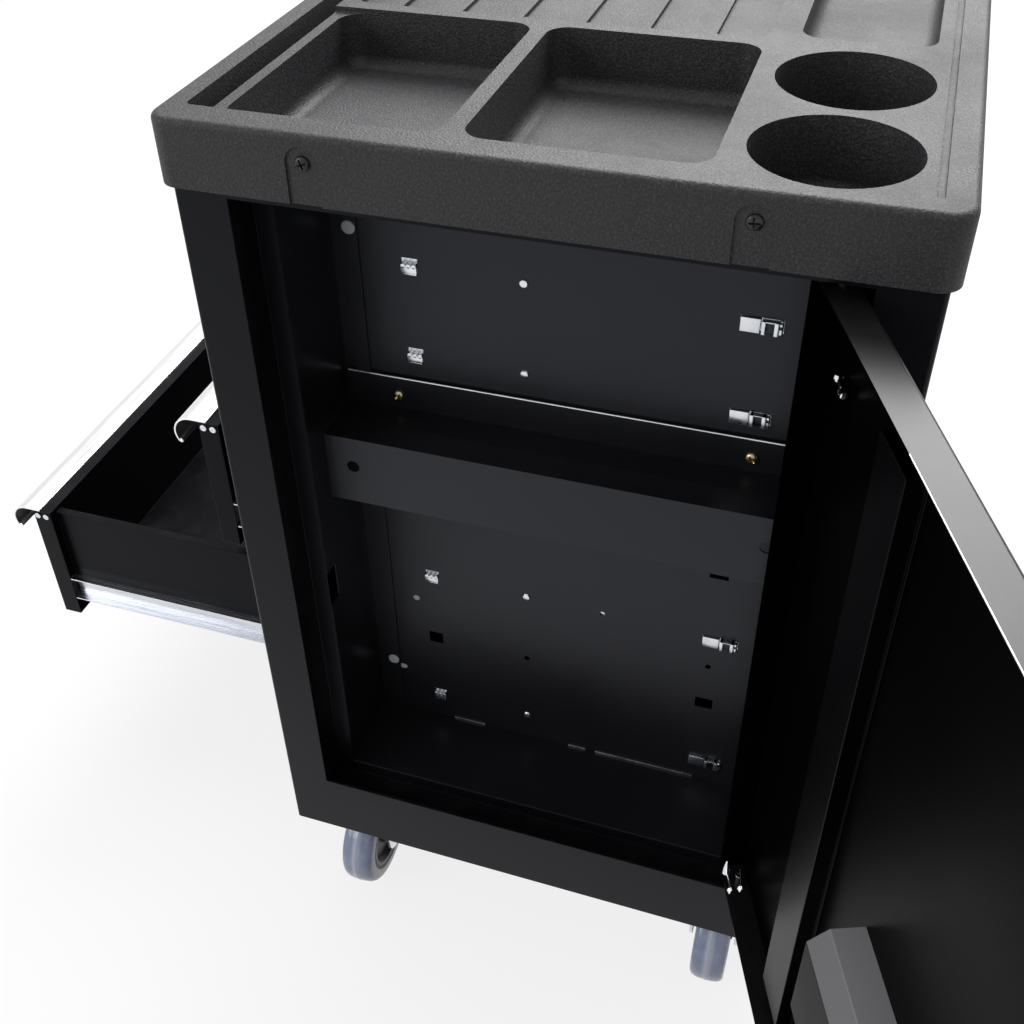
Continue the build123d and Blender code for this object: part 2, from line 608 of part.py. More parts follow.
# ================================================================ drawer stack places
front_bottoms = [BANK_BOTTOM + DRAWER_PITCH * sum(DRAWER_UNITS[:i]) for i in range(len(DRAWER_UNITS))]
front_heights = [units * DRAWER_PITCH - FRONT_GAP for units in DRAWER_UNITS]
slide_levels = [bottom + SLIDE_RISE for bottom in front_bottoms]
hook_levels = [level - HOOK_DROP for level in slide_levels]
spare_levels = [level + DRAWER_PITCH for level, units in zip(hook_levels, DRAWER_UNITS) if units > 1]

# ================================================================ locker inside
shelf_screw_backs = [stop_front + SHELF_SCREW_INSET, stop_back - SHELF_SCREW_INSET - SHELF_PLAY]
partition = (PARTITION_IN, SLIDE_NEAR)

with BuildPart() as partition_panel:
    slab(partition, (SHEET, BODY_DEPTH - SHEET), (PAN_RISE + SHEET, PARTITION_TOP))
    # its feet are notched for the pan's flanges
    slab(partition, (SHEET, 2 * SHEET), (PAN_RISE, PAN_RISE + PAN_FLANGE), mode=Mode.SUBTRACT)
    slab(partition, (BODY_DEPTH - 2 * SHEET, BODY_DEPTH - SHEET), (PAN_RISE, PAN_RISE + PAN_FLANGE),
         mode=Mode.SUBTRACT)
    # pressed strip up the front side, standing proud on the locker side
    slab((PARTITION_IN - JOGGLE_STEP, PARTITION_IN), (JOGGLE_BACK, JOGGLE_BACK + JOGGLE_WIDTH),
         (SILL, PARTITION_TOP))
    for up in (STRIP_HOLE_LOW, STRIP_HOLE_HIGH):
        rod(place(SLIDE_NEAR, JOGGLE_BACK + JOGGLE_WIDTH / 2, up), (1, 0, 0), STRIP_HOLE_RADIUS,
            RECESS, mode=Mode.SUBTRACT)
    for back, up in PUNCHED_HOLES:
        rod(place(SLIDE_NEAR, back, up), (1, 0, 0), PUNCH_RADIUS, SHEET, mode=Mode.SUBTRACT)
    # slots for the slide hooks and clips, and the slide screws' holes, with a spare set half
    # way up each two-unit drawer
    hook = HOOK_SIZE / 2 + FIXING_PLAY
    clip = CLIP_HEIGHT / 2 + FIXING_PLAY
    for up in hook_levels + spare_levels:
        clip_end = clip_back + (CLIP_LENGTH if up in spare_levels else 2 * CLIP_LENGTH)
        slab(partition, (HOOK_BACK - hook, HOOK_BACK + hook), (up - hook, up + hook), mode=Mode.SUBTRACT)
        slab(partition, (clip_back - FIXING_PLAY, clip_end + FIXING_PLAY),
             (up - CLIP_DROP - clip, up - CLIP_DROP + clip), mode=Mode.SUBTRACT)
        rod(place(SLIDE_NEAR, SLIDE_SCREW_BACK, up), (1, 0, 0), screw_hole, SHEET, mode=Mode.SUBTRACT)
    for back in shelf_screw_backs:
        rod(place(SLIDE_NEAR, back, SHELF_UP + SHELF_SCREW_RISE), (1, 0, 0), screw_hole, SHEET,
            mode=Mode.SUBTRACT)
finish(partition_panel.part, "partition_panel")

latch_up = HANDLE_CUP_TOP - HANDLE_CUP_HEIGHT / 2

with BuildPart() as locker_side_panels:
    side = (RECESS + SHEET, PARTITION_IN)
    slab(side, (stop_front - SHEET, stop_front), (TRENCH, PARTITION_TOP))
    slab(side, (stop_back, stop_back + SHEET), (TRENCH, PARTITION_TOP))
    # slot that the lock's cam turns into
    slab((side[0], side[0] + LATCH_SLOT_DEPTH), (stop_front - SHEET, stop_front),
         (latch_up - LATCH_SLOT_HEIGHT / 2, latch_up + LATCH_SLOT_HEIGHT / 2), mode=Mode.SUBTRACT)
finish(locker_side_panels.part, "locker_side_panels")

with BuildPart() as locker_floor:
    slab((RECESS, PARTITION_IN), (stop_front, stop_back), (SILL - SHEET, SILL))
    slab((PARTITION_IN - SHEET, PARTITION_IN), (stop_front, stop_back), (TRENCH, SILL - SHEET))
finish(locker_floor.part, "locker_floor")

shelf_span = (stop_front + SHELF_PLAY, stop_back - SHELF_PLAY)
shelf_back_face = (PARTITION_IN - JOGGLE_STEP - SHELF_SHEET, PARTITION_IN - JOGGLE_STEP)

with BuildPart() as locker_shelf:
    top = (SHELF_UP - SHELF_SHEET, SHELF_UP)
    under = (top[0] - SHELF_SHEET, top[0])
    slab((SHELF_IN, SHELF_LAP_IN), shelf_span, top)
    slab((SHELF_IN, SHELF_IN + SHELF_SHEET), shelf_span, (SHELF_UP - SHELF_FLANGE, SHELF_UP))
    slab((SHELF_LAP_IN - SHELF_LAP, shelf_back_face[1]), shelf_span, under)
    slab(shelf_back_face, shelf_span, (under[0], SHELF_UP + SHELF_BACK_FLANGE))
    for back in (shelf_span[0] + SHELF_HOLE_INSET, shelf_span[1] - SHELF_HOLE_INSET):
        rod(place(SHELF_LAP_IN, back, SHELF_UP - SHELF_HOLE_DROP), (1, 0, 0), SHELF_HOLE_RADIUS,
            SHELF_LAP_IN, mode=Mode.SUBTRACT)
    for back in shelf_screw_backs:
        rod(place(PARTITION_IN, back, SHELF_UP + SHELF_SCREW_RISE), (1, 0, 0), screw_hole,
            RECESS, mode=Mode.SUBTRACT)
finish(locker_shelf.part, "locker_shelf")

with BuildPart() as cabinet_screws:
    for back in shelf_screw_backs:
        seat = place(shelf_back_face[0], back, SHELF_UP + SHELF_SCREW_RISE)
        rod(seat, (1, 0, 0), SCREW_HEAD_RADIUS, SCREW_HEAD_HEIGHT)
        rod(seat, (-1, 0, 0), SCREW_RADIUS, SLIDE_NEAR - shelf_back_face[0] + SHEET)
    for foot, dy, dz in handle_bolts:
        seat = Vector(*place(BODY_LENGTH, foot + dy, HANDLE_UP + dz)) - Vector(HANDLE_FLANGE, 0, 0)
        rod(seat, (-1, 0, 0), SCREW_HEAD_RADIUS, SCREW_HEAD_HEIGHT)
        rod(seat, (1, 0, 0), HANDLE_BOLT_RADIUS, HANDLE_FLANGE + SHEET + SCREW_HEAD_HEIGHT)
finish(cabinet_screws.part, "cabinet_screws")

# ================================================================ slides
slide_ends = [(SLIDE_NEAR, 1), (SLIDE_FAR, -1)]  # mounting face, and the way to the drawer


def outer_slide(face, way, level):
    """The cabinet's half of a slide: a channel that opens towards the drawer."""

    def across(a, b):
        return tuple(sorted((face + way * a, face + way * b)))

    run = (SLIDE_START, SLIDE_START + slide_length)
    slab(across(0, SLIDE_SHEET), run, (level - SLIDE_HEIGHT / 2, level + SLIDE_HEIGHT / 2))
    for edge in (level - SLIDE_HEIGHT / 2, level + SLIDE_HEIGHT / 2 - SLIDE_SHEET):
        slab(across(SLIDE_SHEET, SLIDE_SHEET + SLIDE_FLANGE), run, (edge, edge + SLIDE_SHEET))
    # the strip under it that hooks and screws onto the cabinet
    strip = (HOOK_BACK - HOOK_SIZE, clip_back + 2 * CLIP_LENGTH + HOOK_SIZE)
    slab(across(0, SLIDE_SHEET), strip, (level - MOUNT_DROP, level - SLIDE_HEIGHT / 2))
    # the caged balls that the drawer's half runs between
    cage = (SLIDE_START, SLIDE_START + BALL_CAGE_LENGTH)
    near, far = SLIDE_INNER_HEIGHT / 2 + BALL_PLAY, SLIDE_HEIGHT / 2 - SLIDE_SHEET
    for low, high in ((level - far, level - near), (level + near, level + far)):
        slab(across(SLIDE_PLAY, SLIDE_SHEET + SLIDE_FLANGE), cage, (low, high))


def inner_slide(face, way, level, out):
    """The drawer's half: a narrower channel that opens towards the cabinet."""

    def across(a, b):
        return tuple(sorted((face + way * a, face + way * b)))

    run = (SLIDE_START - out, SLIDE_START + slide_length - out)
    half = SLIDE_INNER_HEIGHT / 2
    slab(across(SLIDE_THICKNESS - SLIDE_SHEET, SLIDE_THICKNESS), run, (level - half, level + half))
    for edge in (level - half, level + half - SLIDE_SHEET):
        slab(across(SLIDE_PLAY, SLIDE_THICKNESS - SLIDE_SHEET), run, (edge, edge + SLIDE_SHEET))


with BuildPart() as slide_rails:
    for level in slide_levels:
        for face, way in slide_ends:
            outer_slide(face, way, level)
finish(slide_rails.part, "slide_rails")

with BuildPart() as slide_fixings:
    for up in hook_levels:
        hook = HOOK_SIZE / 2
        proud = PARTITION_IN - HOOK_PROUD
        # a hook through its square slot, bent over at the top
        slab((proud, SLIDE_NEAR), (HOOK_BACK - hook, HOOK_BACK + hook), (up - hook, up + hook / 3))
        slab((proud, proud + HOOK_PROUD / 2), (HOOK_BACK - hook / 2, HOOK_BACK + hook / 2),
             (up + hook / 3, up + hook))
        # a two-step spring clip
        half = CLIP_HEIGHT / 2
        middle = clip_back + CLIP_LENGTH
        clip_up = up - CLIP_DROP
        tall = (clip_up - half, clip_up + half)
        slab((PARTITION_IN - CLIP_STEP / 2, SLIDE_NEAR), (clip_back, middle), tall)
        slab((PARTITION_IN - CLIP_STEP, SLIDE_NEAR), (middle, middle + CLIP_BUMP), tall)
        slab((PARTITION_IN - CLIP_STEP / 2, SLIDE_NEAR), (middle + CLIP_BUMP, middle + CLIP_LENGTH),
             (clip_up - CLIP_TIP_HEIGHT / 2, clip_up + CLIP_TIP_HEIGHT / 2))
        seat = place(PARTITION_IN, SLIDE_SCREW_BACK, up)
        rod(seat, (1, 0, 0), SLIDE_SCREW_HEAD_RADIUS, SLIDE_SCREW_HEAD)
        rod(seat, (-1, 0, 0), SCREW_RADIUS, SHEET)
finish(slide_fixings.part, "slide_fixings")

# ================================================================ push handle
with BuildPart() as push_handle:
    foot_x = X_FAR - HANDLE_FLANGE
    bar_x = X_FAR - HANDLE_REACH
    level = Z_BODY + HANDLE_UP
    feet_y = [Y_FRONT + foot for foot in handle_feet]
    with BuildLine() as centreline:
        FilletPolyline(
            (foot_x, feet_y[0], level), (bar_x, feet_y[0], level),
            (bar_x, feet_y[1], level), (foot_x, feet_y[1], level), radius=HANDLE_BEND,
        )
    with BuildSketch(Plane(origin=(foot_x, feet_y[0], level), z_dir=(-1, 0, 0))):
        Circle(HANDLE_RADIUS)
        Circle(HANDLE_RADIUS - HANDLE_WALL, mode=Mode.SUBTRACT)
    sweep(path=centreline.line)
    for y in feet_y:
        rod((X_FAR, y, level), (-1, 0, 0), HANDLE_FLANGE_RADIUS, HANDLE_FLANGE)
    for foot, dy, dz in handle_bolts:
        rod(place(BODY_LENGTH, foot + dy, HANDLE_UP + dz), (-1, 0, 0),
            HANDLE_BOLT_RADIUS + SCREW_HOLE_PLAY, HANDLE_FLANGE, mode=Mode.SUBTRACT)
finish(push_handle.part, "push_handle")

# ================================================================ casters
plate_top = CASTER_HEIGHT
plate_bottom = plate_top - PLATE_THICKNESS
leg_inside = HUB_WIDTH / 2 + FORK_PLAY
leg_outside = leg_inside + FORK_SHEET
head_seat = leg_outside + WASHER

with BuildPart() as caster_plates:
    for inward, back in rigid_places + swivel_places:
        centre = place(inward, back, 0)
        with BuildSketch(Plane.XY.offset(plate_bottom)):
            with Locations(centre[:2]):
                RectangleRounded(PLATE_LENGTH, PLATE_WIDTH, PLATE_CORNER)
                with GridLocations(PLATE_BOLT_X, PLATE_BOLT_Y, 2, 2):
                    Circle(BOLT_RADIUS + BOLT_HOLE_PLAY, mode=Mode.SUBTRACT)
        extrude(amount=PLATE_THICKNESS)
    # kingpins riveted into the swivel plates, with a nut under the crown
    crown_bottom = plate_bottom - SWIVEL_GAP - CROWN_HEIGHT
    pin_length = SWIVEL_GAP + CROWN_HEIGHT + SWIVEL_GAP + KINGPIN_NUT
    for inward, back in swivel_places:
        x, y = place(inward, back, 0)[:2]
        rod((x, y, plate_bottom), (0, 0, -1), KINGPIN_RADIUS, pin_length)
        rod((x, y, crown_bottom - SWIVEL_GAP), (0, 0, -1), KINGPIN_NUT_RADIUS, KINGPIN_NUT)
finish(caster_plates.part, "caster_plates")

with BuildPart() as caster_bolts:
    for inward, back in plate_bolts:
        x, y = place(inward, back, 0)[:2]
        hexagon((x, y, plate_bottom), (0, 0, -1), BOLT_ACROSS, BOLT_HEAD)
        shank = PLATE_THICKNESS + SHEET + BOLT_HEAD
        rod((x, y, plate_bottom), (0, 0, 1), BOLT_RADIUS, shank)
        hexagon((x, y, plate_top + SHEET), (0, 0, 1), BOLT_ACROSS, BOLT_HEAD)
finish(caster_bolts.part, "caster_bolts")


def fork(x_axle, y_axle, x_top, top, extra=()):
    """A pressed fork: a bridge over the wheel, and each side a leg that narrows to a rounded foot."""
    for side in (-1, 1):
        middle = y_axle + side * (leg_inside + FORK_SHEET / 2)
        with BuildSketch(Plane(origin=(0, middle, 0), x_dir=(1, 0, 0), z_dir=(0, -1, 0))) as leg:
            with Locations((x_axle, WHEEL_RADIUS)):
                Circle(FORK_FOOT_RADIUS)
            with Locations((x_top, top - FORK_SHEET / 2)):
                Rectangle(FORK_TOP, FORK_SHEET)
            for ear in extra:
                with Locations(ear):
                    Circle(PEDAL_BARREL + FORK_SHEET)
            make_hull()
            with Locations((x_axle, WHEEL_RADIUS)):
                Circle(AXLE_RADIUS + BOLT_HOLE_PLAY, mode=Mode.SUBTRACT)
        extrude(leg.sketch, amount=FORK_SHEET / 2, both=True)
    with Locations((x_top, y_axle, top - FORK_SHEET / 2)):
        Box(FORK_TOP, 2 * leg_outside, FORK_SHEET)


def axle_bolt(x, y):
    """An axle bolt through fork and wheel, with a washer under its head and its nut."""
    rod((x, y - head_seat - BOLT_HEAD, WHEEL_RADIUS), (0, 1, 0), AXLE_RADIUS,
        2 * (head_seat + BOLT_HEAD))
    for side in (-1, 1):
        rod((x, y + side * leg_outside, WHEEL_RADIUS), (0, side, 0), BOLT_ACROSS + 2 * WASHER, WASHER)
        hexagon((x, y + side * head_seat, WHEEL_RADIUS), (0, side, 0), BOLT_ACROSS, BOLT_HEAD)


with BuildPart() as rigid_forks:
    for inward, back in rigid_places:
        x, y = place(inward, back, 0)[:2]
        fork(x, y, x, plate_bottom)
finish(rigid_forks.part, "rigid_forks")

with BuildPart() as rigid_axles:
    for inward, back in rigid_places:
        x, y = place(inward, back, 0)[:2]
        axle_bolt(x, y)
finish(rigid_axles.part, "rigid_axles")

wheel_centres = [place(inward, back, 0)[:2] for inward, back in rigid_places]
for number, (inward, back) in enumerate(swivel_places, start=1):
    x, y = place(inward, back, 0)[:2]
    x_axle = x - SWIVEL_LEAD
    pivot = (x_axle - PEDAL_OUT, WHEEL_RADIUS + PEDAL_UP)
    wheel_centres.append((x_axle, y))
    crown_top = plate_bottom - SWIVEL_GAP
    with BuildPart() as swivel_fork:
        # the leg plates reach back to the pedal's pivot, clear of the kingpin's nut
        leg_top = crown_top - CROWN_HEIGHT + FORK_SHEET
        fork(x_axle, y, x, leg_top, extra=[pivot])
        rod((x, y, crown_top), (0, 0, -1), CROWN_RADIUS, CROWN_HEIGHT)
        rod((x, y, leg_top - FORK_SHEET), (0, 0, 1), KINGPIN_RADIUS + KINGPIN_CLEARANCE,
            CROWN_HEIGHT, mode=Mode.SUBTRACT)
        rod((pivot[0], y - leg_outside, pivot[1]), (0, 1, 0), PEDAL_PIN + PEDAL_CLEARANCE,
            2 * leg_outside, mode=Mode.SUBTRACT)
    finish(swivel_fork.part, f"swivel_fork_{number}")

    with BuildPart() as swivel_axle:
        axle_bolt(x_axle, y)
    finish(swivel_axle.part, f"swivel_axle_{number}")

    with BuildPart() as brake_pedal:
        barrel = leg_inside - SWIVEL_GAP
        rod((pivot[0], y - barrel, pivot[1]), (0, 1, 0), PEDAL_BARREL, 2 * barrel)
        rod((pivot[0], y - leg_outside, pivot[1]), (0, 1, 0), PEDAL_PIN, 2 * leg_outside)
        # the foot plate slopes down and away from the wheel
        tilt = radians(PEDAL_TILT)
        foot = Plane(
            origin=(pivot[0], y, pivot[1]),
            x_dir=(-cos(tilt), 0, -sin(tilt)),
            z_dir=(-sin(tilt), 0, cos(tilt)),
        )
        with BuildSketch(foot):
            with Locations((PEDAL_LENGTH / 2 + PEDAL_PIN, 0)):
                RectangleRounded(PEDAL_LENGTH, PEDAL_WIDTH, PEDAL_BARREL)
        extrude(amount=PEDAL_SHEET)
        # the shoe comes into line with the axle, against the tread, as the pedal goes down
        reach = hypot(PEDAL_OUT, PEDAL_UP)
        lean = atan2(PEDAL_UP, PEDAL_OUT) + radians(PEDAL_PRESS)
        towards = (cos(lean), 0, -sin(lean))
        with BuildSketch(Plane(origin=(pivot[0], y, pivot[1]), x_dir=(0, 1, 0), z_dir=towards)):
            Rectangle(PEDAL_WIDTH / 2, PEDAL_SHEET)
        extrude(amount=reach - WHEEL_RADIUS - SHOE_GAP)
    finish(brake_pedal.part, f"brake_pedal_{number}")

for number, (x, y) in enumerate(wheel_centres, start=1):
    across = Plane(origin=(x, y, WHEEL_RADIUS), x_dir=(1, 0, 0), z_dir=(0, 1, 0))
    with BuildPart() as wheel_tread:
        with BuildSketch(Plane(origin=(x, y, WHEEL_RADIUS), x_dir=(0, 1, 0), z_dir=(1, 0, 0))):
            with BuildLine():
                half = WHEEL_WIDTH / 2
                Polyline((-half, WHEEL_RADIUS - WHEEL_CROWN), (-half, HUB_RADIUS), (half, HUB_RADIUS),
                         (half, WHEEL_RADIUS - WHEEL_CROWN))
                ThreePointArc((half, WHEEL_RADIUS - WHEEL_CROWN), (0, WHEEL_RADIUS),
                              (-half, WHEEL_RADIUS - WHEEL_CROWN))
            make_face()
        revolve(axis=Axis((x, y, WHEEL_RADIUS), (0, 1, 0)))
    finish(wheel_tread.part, f"wheel_tread_{number}")

    with BuildPart() as wheel_hub:
        with BuildSketch(across):
            Circle(HUB_RADIUS)
        extrude(amount=WHEEL_WIDTH / 2, both=True)
        for side in (-1, 1):
            dish = Plane(origin=(x, y + side * WHEEL_WIDTH / 2, WHEEL_RADIUS), x_dir=(1, 0, 0),
                         z_dir=(0, -side, 0))
            with BuildSketch(dish):
                Circle(HUB_RADIUS - HUB_DISH)
                Circle(HUB_BOSS_RADIUS, mode=Mode.SUBTRACT)
            extrude(amount=HUB_DISH, taper=HUB_DISH_TAPER, mode=Mode.SUBTRACT)
        with BuildSketch(across):
            Circle(HUB_BOSS_RADIUS)
        extrude(amount=HUB_WIDTH / 2, both=True)
        with BuildSketch(across):
            Circle(AXLE_RADIUS + AXLE_CLEARANCE)
        extrude(amount=HUB_WIDTH, both=True, mode=Mode.SUBTRACT)
    finish(wheel_hub.part, f"wheel_hub_{number}")

# ================================================================ locker door and its hinges
door_bottom = TRENCH + DOOR_BOTTOM_GAP
door_top = LINTEL - HINGE_PLATE - DOOR_TOP_GAP
hinge_point = place(DOOR_AXIS_IN, door_axis_back, 0)


def door_block(along, out, up, mode=Mode.ADD):
    """A block of the door: along from the axis, out towards its outer face, and up."""
    with BuildSketch(DOOR.offset(up[0])) as outline:
        with Locations(((along[0] + along[1]) / 2, (out[0] + out[1]) / 2)):
            Rectangle(along[1] - along[0], out[1] - out[0])
    extrude(outline.sketch, amount=up[1] - up[0], mode=mode)


skin_inside = door_outer - DOOR_SHEET
cup_up = (HANDLE_CUP_TOP - HANDLE_CUP_HEIGHT, HANDLE_CUP_TOP)
lock_along = door_reach - LOCK_FROM_EDGE
cup_end = lock_along - HANDLE_CUP_TO_LOCK
cup_along = (cup_end - HANDLE_CUP_LENGTH, cup_end)

with BuildPart() as hinge_plates:
    half = HINGE_PLATE_LENGTH / 2
    for up in ((LINTEL - HINGE_PLATE, LINTEL), (TRENCH, TRENCH + HINGE_PLATE)):
        slab((2 * SHEET, RECESS), (door_axis_back - half, BODY_DEPTH - POST_BACK), up)
        rod((hinge_point[0], hinge_point[1], Z_BODY + up[0]), (0, 0, 1), PIN_RADIUS + PIN_CLEARANCE,
            HINGE_PLATE, mode=Mode.SUBTRACT)
finish(hinge_plates.part, "hinge_plates")

with BuildPart() as hinge_pins:
    x, y = hinge_point[:2]
    bottom_seat = TRENCH + HINGE_PLATE
    collar = door_bottom - PIN_RUNNING_GAP - bottom_seat
    rod((x, y, Z_BODY + TRENCH), (0, 0, 1), PIN_RADIUS, door_bottom + PIN_REACH - TRENCH)
    rod((x, y, Z_BODY + bottom_seat), (0, 0, 1), PIN_COLLAR_RADIUS, collar)
    rod((x, y, Z_BODY + LINTEL), (0, 0, -1), PIN_RADIUS, LINTEL - door_top + PIN_REACH)
finish(hinge_pins.part, "hinge_pins")

with BuildPart() as door_panel:
    with BuildSketch(DOOR.offset(door_bottom)):
        with Locations(((door_reach - DOOR_AXIS_EDGE) / 2, (door_outer - door_inner) / 2)):
            Rectangle(door_width, DOOR_THICKNESS)
    extrude(amount=door_top - door_bottom)
    outward = Vector(-sin(door_angle), cos(door_angle), 0)
    outer_face = door_panel.faces().sort_by(Axis((0, 0, 0), outward))[-1]
    fillet(outer_face.edges(), DOOR_BEND)
    door_block(
        (DOOR_SHEET - DOOR_AXIS_EDGE, door_reach - DOOR_SHEET), (-door_inner - DOOR_SHEET, skin_inside),
        (door_bottom + DOOR_SHEET, door_top - DOOR_SHEET), mode=Mode.SUBTRACT,
    )
    # finger opening, lock hole and the pins' holes
    door_block(cup_along, (skin_inside - DOOR_SHEET, door_outer + DOOR_SHEET), cup_up, mode=Mode.SUBTRACT)
    lock_plane = Plane(origin=DOOR.offset(latch_up).from_local_coords((lock_along, 0, 0)), z_dir=outward)
    with BuildSketch(lock_plane):
        Circle(LOCK_RADIUS + LOCK_CLEARANCE)
    extrude(amount=DOOR_THICKNESS, mode=Mode.SUBTRACT)
    with BuildSketch(Plane(origin=(x, y, Z_BODY))):
        Circle(PIN_RADIUS + PIN_CLEARANCE)
    extrude(amount=BODY_HEIGHT, mode=Mode.SUBTRACT)
finish(door_panel.part, "door_panel")

with BuildPart() as door_stiffener:
    edge = cup_along[0] - STIFFENER_TO_CUP - STIFFENER_WIDTH
    up = (door_bottom + STIFFENER_END_GAP, door_top - STIFFENER_END_GAP)
    door_block((edge, edge + STIFFENER_WIDTH), (skin_inside - STIFFENER_DEPTH, skin_inside), up)
    door_block((edge + DOOR_SHEET, edge + STIFFENER_WIDTH - DOOR_SHEET),
               (skin_inside - STIFFENER_DEPTH + DOOR_SHEET, skin_inside + DOOR_SHEET),
               up, mode=Mode.SUBTRACT)
    for along in ((edge - STIFFENER_FLANGE, edge),
                  (edge + STIFFENER_WIDTH, edge + STIFFENER_WIDTH + STIFFENER_LIP)):
        door_block(along, (skin_inside - DOOR_SHEET, skin_inside), up)
finish(door_stiffener.part, "door_stiffener")

with BuildPart() as door_handle_cup:
    play = FIXING_PLAY
    inner_end = door_outer - HANDLE_CUP_DEPTH
    rim = HANDLE_CUP_RIM
    cup_a = (cup_along[0] + play, cup_along[1] - play)
    cup_z = (cup_up[0] + play, cup_up[1] - play)
    wall = HANDLE_CUP_WALL
    door_block(cup_a, (inner_end, door_outer), cup_z)
    inner_top = door_handle_cup.edges().group_by(Axis.Z)[-1].sort_by(Axis((0, 0, 0), outward))[0]
    chamfer(inner_top, HANDLE_CUP_SLOPE)
    door_block((cup_a[0] - play - rim, cup_a[1] + play + rim), (door_outer, door_outer + wall),
               (cup_z[0] - play - rim, cup_z[1] + play + rim))
    hollow_along = (cup_a[0] + wall, cup_a[1] - wall)
    hollow_top = cup_z[1] - wall
    step_up = hollow_top - HANDLE_CUP_SLOPE
    mouth = door_outer + 2 * wall
    door_block(hollow_along, (inner_end + wall, mouth), (cup_z[0] + wall, step_up), mode=Mode.SUBTRACT)
    door_block(hollow_along, (inner_end + wall + HANDLE_CUP_SLOPE, mouth), (step_up - wall, hollow_top),
               mode=Mode.SUBTRACT)
    # the pull lip across the upper part of the recess
    door_block(hollow_along, (door_outer - wall, door_outer + wall), (cup_z[1] - HANDLE_LIP, hollow_top))
finish(door_handle_cup.part, "door_handle_cup")


def turned_lock(face_plane, behind, reach):
    """A cylinder lock on a face, with its cam on the back of the barrel, along the plane's X."""
    face = face_plane.offset(LOCK_CLEARANCE)
    with BuildSketch(face) as flange:
        Circle(LOCK_FLANGE_RADIUS)
    extrude(flange.sketch, amount=LOCK_FLANGE)
    with BuildSketch(face) as barrel:
        Circle(LOCK_RADIUS)
    extrude(barrel.sketch, amount=-behind)
    with BuildSketch(face.offset(LOCK_FLANGE)) as keyway:
        Rectangle(LOCK_FLANGE / 2, LOCK_RADIUS)
    extrude(keyway.sketch, amount=-2 * LOCK_FLANGE, mode=Mode.SUBTRACT)
    with BuildSketch(face.offset(-behind)) as cam:
        Circle(CAM_WIDTH / 2)
        with Locations((reach / 2, 0)):
            Rectangle(reach, CAM_WIDTH)
    extrude(cam.sketch, amount=-CAM_THICKNESS)


door_lock_face = Plane(
    origin=DOOR.offset(latch_up).from_local_coords((lock_along, door_outer, 0)),
    x_dir=(0, 0, 1), z_dir=outward,
)
with BuildPart() as door_lock:
    turned_lock(door_lock_face, LOCK_BARREL_LENGTH, CAM_REACH)
finish(door_lock.part, "door_lock")

drawer_lock_face = Plane(origin=place(DRAWER_LOCK_IN, 0, lock_up), x_dir=(1, 0, 0), z_dir=(0, -1, 0))
with BuildPart() as drawer_lock:
    turned_lock(drawer_lock_face, BANK_RETURN + LOCK_FLANGE, DRAWER_CAM_REACH)
finish(drawer_lock.part, "drawer_lock")

# ================================================================ drawers
front_near = bank_near + FRONT_PLAY
front_far = bank_far - FRONT_PLAY
box_near = SLIDE_NEAR + SLIDE_THICKNESS
box_far = SLIDE_FAR - SLIDE_THICKNESS

